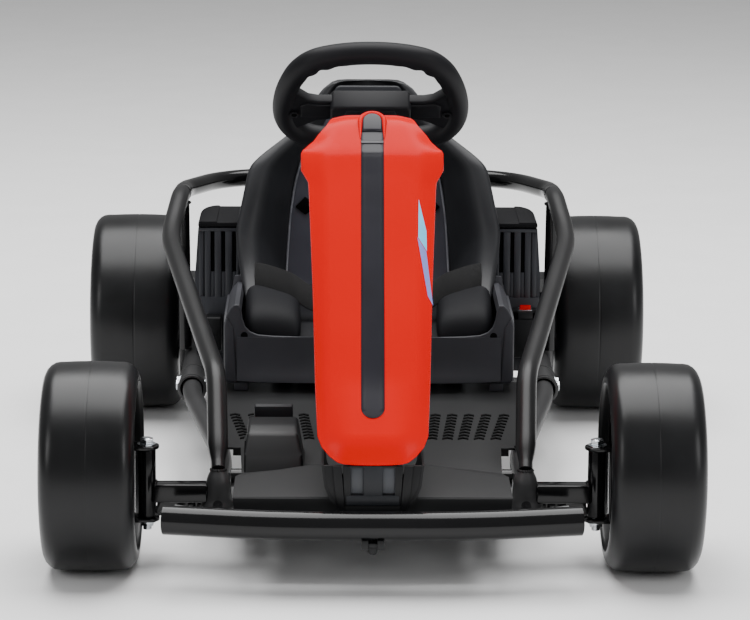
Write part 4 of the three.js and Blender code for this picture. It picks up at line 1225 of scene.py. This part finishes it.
def podPlan(start, inset=0, inner=172):
    # seen from above, with the outer rear corner well rounded
    b, back = podSize["outer"] - inset, podSize["back"] - inset
    corner = [(b - 22 + 22 * math.cos(a),
               back - 52 + 52 * math.sin(a)) for a in [math.pi / 2 * k / 8 for k in range(9)]]
    return [(inner, start), (b, start), *corner, (inner, back)]


def podSides(bm):
    # the pod widens up to mid height and then leans in
    for v in bm.verts:
        above = v.co.z - podSize["wide"]
        lean = max(0, -above) * 0.02 + max(0, above) * 0.07
        v.co.x -= math.copysign(lean * max(0, min(1, (abs(v.co.x) - 200) / 20)), v.co.x)


def makePods():
    a, b, front = podSize["inner"], podSize["outer"], podSize["front"]
    for name, s in both:
        bm = bmesh.new()
        shelf, high = podSize["shelf"], podSize["high"]
        addPlate(bm, onSide(s, podPlan(front + 4)), "z", podSize["low"], shelf, bevel=1.6, segments=3)
        whole = bm.verts[:] + bm.edges[:] + bm.faces[:]
        bmesh.ops.bisect_plane(bm, geom=whole, plane_co=(0, 0, podSize["wide"]), plane_no=zAxis)
        podSides(bm)

        def slab(x0, x1, z0, z1, lift, bevel=1):
            addBox(bm, (s * x0, front + lift, z0), (s * x1, front + 6, z1), bevel=bevel)
        slab(a + 1, b - 5.6, 281.6, shelf - 0.4, 0)
        slab(a + 1, b - 1.4, podSize["low"] + 1, 192, 0, bevel=1.2)
        for x0, x1, lift in ((a + 1, 177, 0.4), (182.6, 191.8, 0.4), (197, 206.2, 0.4), (211.4, 219.4, 0.4),
                             (221, 227.6, 1.6)):
            slab(x0, x1, 190, 283, lift)
        for x in podSize["vents"]:
            slab(x - 2.6, x + 2.6, 190, 226, 1.8, bevel=0.4)
        # foot that rests on the frame sleeve
        addBox(bm, (s * 184, front + 1, 90), (s * 213, front + 5, podSize["low"] + 2), bevel=0.8)
        finishPiece(bm, "side_pod_" + name, podPlastic)
        bm = bmesh.new()
        # vent slots backed with painted shade
        for x in podSize["vents"]:
            addBox(bm, (s * (x - 2.5), front + 3.2, 226.2), (s * (x + 2.5), front + 4.2, 281.8))
        finishPiece(bm, "pod_vents_" + name, openingShade)
        bm = bmesh.new()
        addPlate(bm, onSide(s, podPlan(front - 0.8, inset=5)), "z", shelf + 0.9, high - 1.4, bevel=2.6,
                 segments=3)
        addPlate(bm, onSide(s, podPlan(front - 0.4, inset=5.6, inner=202.4)), "z", shelf + 2, high,
                 bevel=2.6, segments=3)
        finishPiece(bm, "pod_lid_" + name, lidPlastic)
        bm = bmesh.new()
        if name == "left":
            addBox(bm, (-218, front - 26, 122), (-196, front - 0.4, 169), bevel=3, segments=3)
            addRod(bm, (-207, front - 26.6, 148), (-207, front - 24, 148), 7, sides=32, bevel=0.8)
            finishPiece(bm, "charge_port_box", blackPlastic)
        else:
            x0, x1, y0 = 194, 229, front - 26
            addBox(bm, (x0, y0, 114.6), (x1, front - 0.4, 170.5), bevel=2, segments=3)
            for west, east, near, far in ((x0, 204, y0, front - 0.4), (220, x1, y0, front - 0.4),
                                          (x0 + 0.4, x1 - 0.4, y0, front - 20.2),
                                          (x0 + 0.4, x1 - 0.4, front - 5.8, front - 0.4)):
                addBox(bm, (west, near, 166), (east, far, 178.5), bevel=1.6)
            finishPiece(bm, "switch_box", blackPlastic)
    middle = 212
    bm = bmesh.new()
    rocker = [(603.2, 173.6), (614.8, 173.6), (614.8, 180.5), (609, 182.5), (603.2, 186)]
    addPlate(bm, rocker, "x", middle - 7.3, middle + 7.3, bevel=0.9)
    finishPiece(bm, "power_switch", redGloss, "switch")
    bm = bmesh.new()  # pale frame round the rocker
    for x0, x1, y0, y1 in ((204, 220, 600.8, 602.4), (204, 220, 615.8, 617), (203, 204.4, 601, 617),
                           (219.6, 221, 601, 617)):
        addBox(bm, (x0, y0, 178), (x1, y1, 179.6), bevel=0.4)
    finishPiece(bm, "rocker_frame", zincPlate)


# ---- pedal ----

pedal = {"pivot": (124, 120), "left": -150, "right": -80}


def makePedal():
    bm = bmesh.new()
    outline = [(6.5, 108), (24, 130), (40.5, 151.5), (60, 157), (100, 157), (104, 150), (104, 112)]
    left, right = [], []
    for y, z in outline:
        t = max(0, (z - 124) / 33)
        left.append(bm.verts.new((pedal["left"] + 4 * t, y, z)))
        right.append(bm.verts.new((pedal["right"] - 8 * t, y, z)))
    bm.faces.new(left)
    bm.faces.new(right)
    for i in range(len(outline)):
        k = (i + 1) % len(outline)
        bm.faces.new((left[i], left[k], right[k], right[i]))
    bevelEdges(bm, bm.edges, 4.4, 4)
    for x0, x1 in ((-151.6, -147.4), (-88.6, -84.4)):
        addPlate(bm, [(98, 111.8), (132, 111.8), (132, 120), (129, 126), (122, 127), (98, 127)], "x", x0,
                 x1, bevel=0.8)
    addBox(bm, (-150.5, 30, 111.7), (-79.5, 106, 114.5), bevel=1)
    finishPiece(bm, "pedal_housing", blackPlastic)
    bm = bmesh.new()
    arm = [(121, 118), (117.4, 158), (118.4, 164), (121.4, 166.6), (124.6, 166), (126.6, 161), (128, 118)]
    addPlate(bm, arm, "x", -140.3, -93.7, bevel=2, segments=3)
    for z in (134, 142, 150, 158):
        addBox(bm, (-137, 125.6, z - 1.4), (-97, 128.4, z + 1.4), bevel=0.8)
    y, z = pedal["pivot"]
    addRod(bm, (-146, y, z), (-90, y, z), 5.2, sides=28, bevel=0.5)
    addRod(bm, (-150.8, y, z), (-85.2, y, z), 3, sides=20)
    finishPiece(bm, "throttle_pedal", darkPlastic, "pedal")


# ---- rear drive ----

motor = {"y": 826, "z": 162, "radius": 20.6}


def makeDrive():
    y, z, r = motor["y"], motor["z"], motor["radius"]
    for name, s in both:
        bm = bmesh.new()
        case = [(765, 118), (771, 114.2), (839, 114.2), (849, 122), (849, 172), (834, 185), (782, 185),
                (765, 170)]
        addPlate(bm, case, "x", s * 212, s * 262, bevel=3, segments=3)
        seam = [(762, 116), (852, 116), (852, 174), (835.5, 187.5), (780.5, 187.5), (762, 172)]
        addPlate(bm, seam, "x", s * 234, s * 238, bevel=0.8)
        for spot in ((770, 122), (844, 122), (844, 168), (770, 164)):
            addRod(bm, (s * 262, *spot), (s * 264.5, *spot), 4, sides=20, bevel=0.6)
        finishPiece(bm, "gearbox_" + name, blackPlastic)
        bm = bmesh.new()
        addRod(bm, (s * 137, y, z), (s * 205.6, y, z), r, sides=48, bevel=1.6)
        addRod(bm, (s * 131.5, y, z), (s * 137.4, y, z), 8, sides=28, bevel=0.8)
        for x in (146, 196):
            addTube(bm, circle((s * x, y, z), yAxis, zAxis, r), 0.7, sides=6)
        finishPiece(bm, "motor_" + name, zincPlate)
        bm = bmesh.new()
        for dz in (-5, 5):
            lead = [(134, y, z + dz), (122, 815, 160 + dz), (112, 760, 120), (96, 690, 118),
                    (88 + dz, 642, 132)]
            addTube(bm, finePath(onSide(s, lead), 24, step=10), 1.7, sides=10)
        finishPiece(bm, "motor_leads_" + name, copperLead)
    bm = bmesh.new()
    addBox(bm, (-96, 514, 106.5), (96, 640, 149.5), bevel=3, segments=3)
    for x in (-60, 60):
        addBox(bm, (x - 9, 513.2, 106.2), (x + 9, 640.8, 149.9), bevel=0.6)
    finishPiece(bm, "battery", darkPlastic)


setStage()
print("stage set")
makeRails()
makeSleeves()
makeSideBars()
makeHoop()
makeBumper()
print("frame tubes made")
makeWheels()
print("wheels made")
makeFairing()
makeColumnCover()
makeSteeringShaft()
makeFloorTray()
print("fairing, cover and tray made")
makeSteeringWheel()
makeKnuckles()
makeWheelNuts()
print("steering made")
makeSeat()
makePad()
makeBolsters()
makeBelts()
makeSkirt()
print("seat made")
makePods()
makePedal()
makeDrive()
print("pods, pedal and drive made")
dress(satinGrey, "seat_cross_tube", "rear_cross_tube")
dress(zincPlate, "rear_axle")
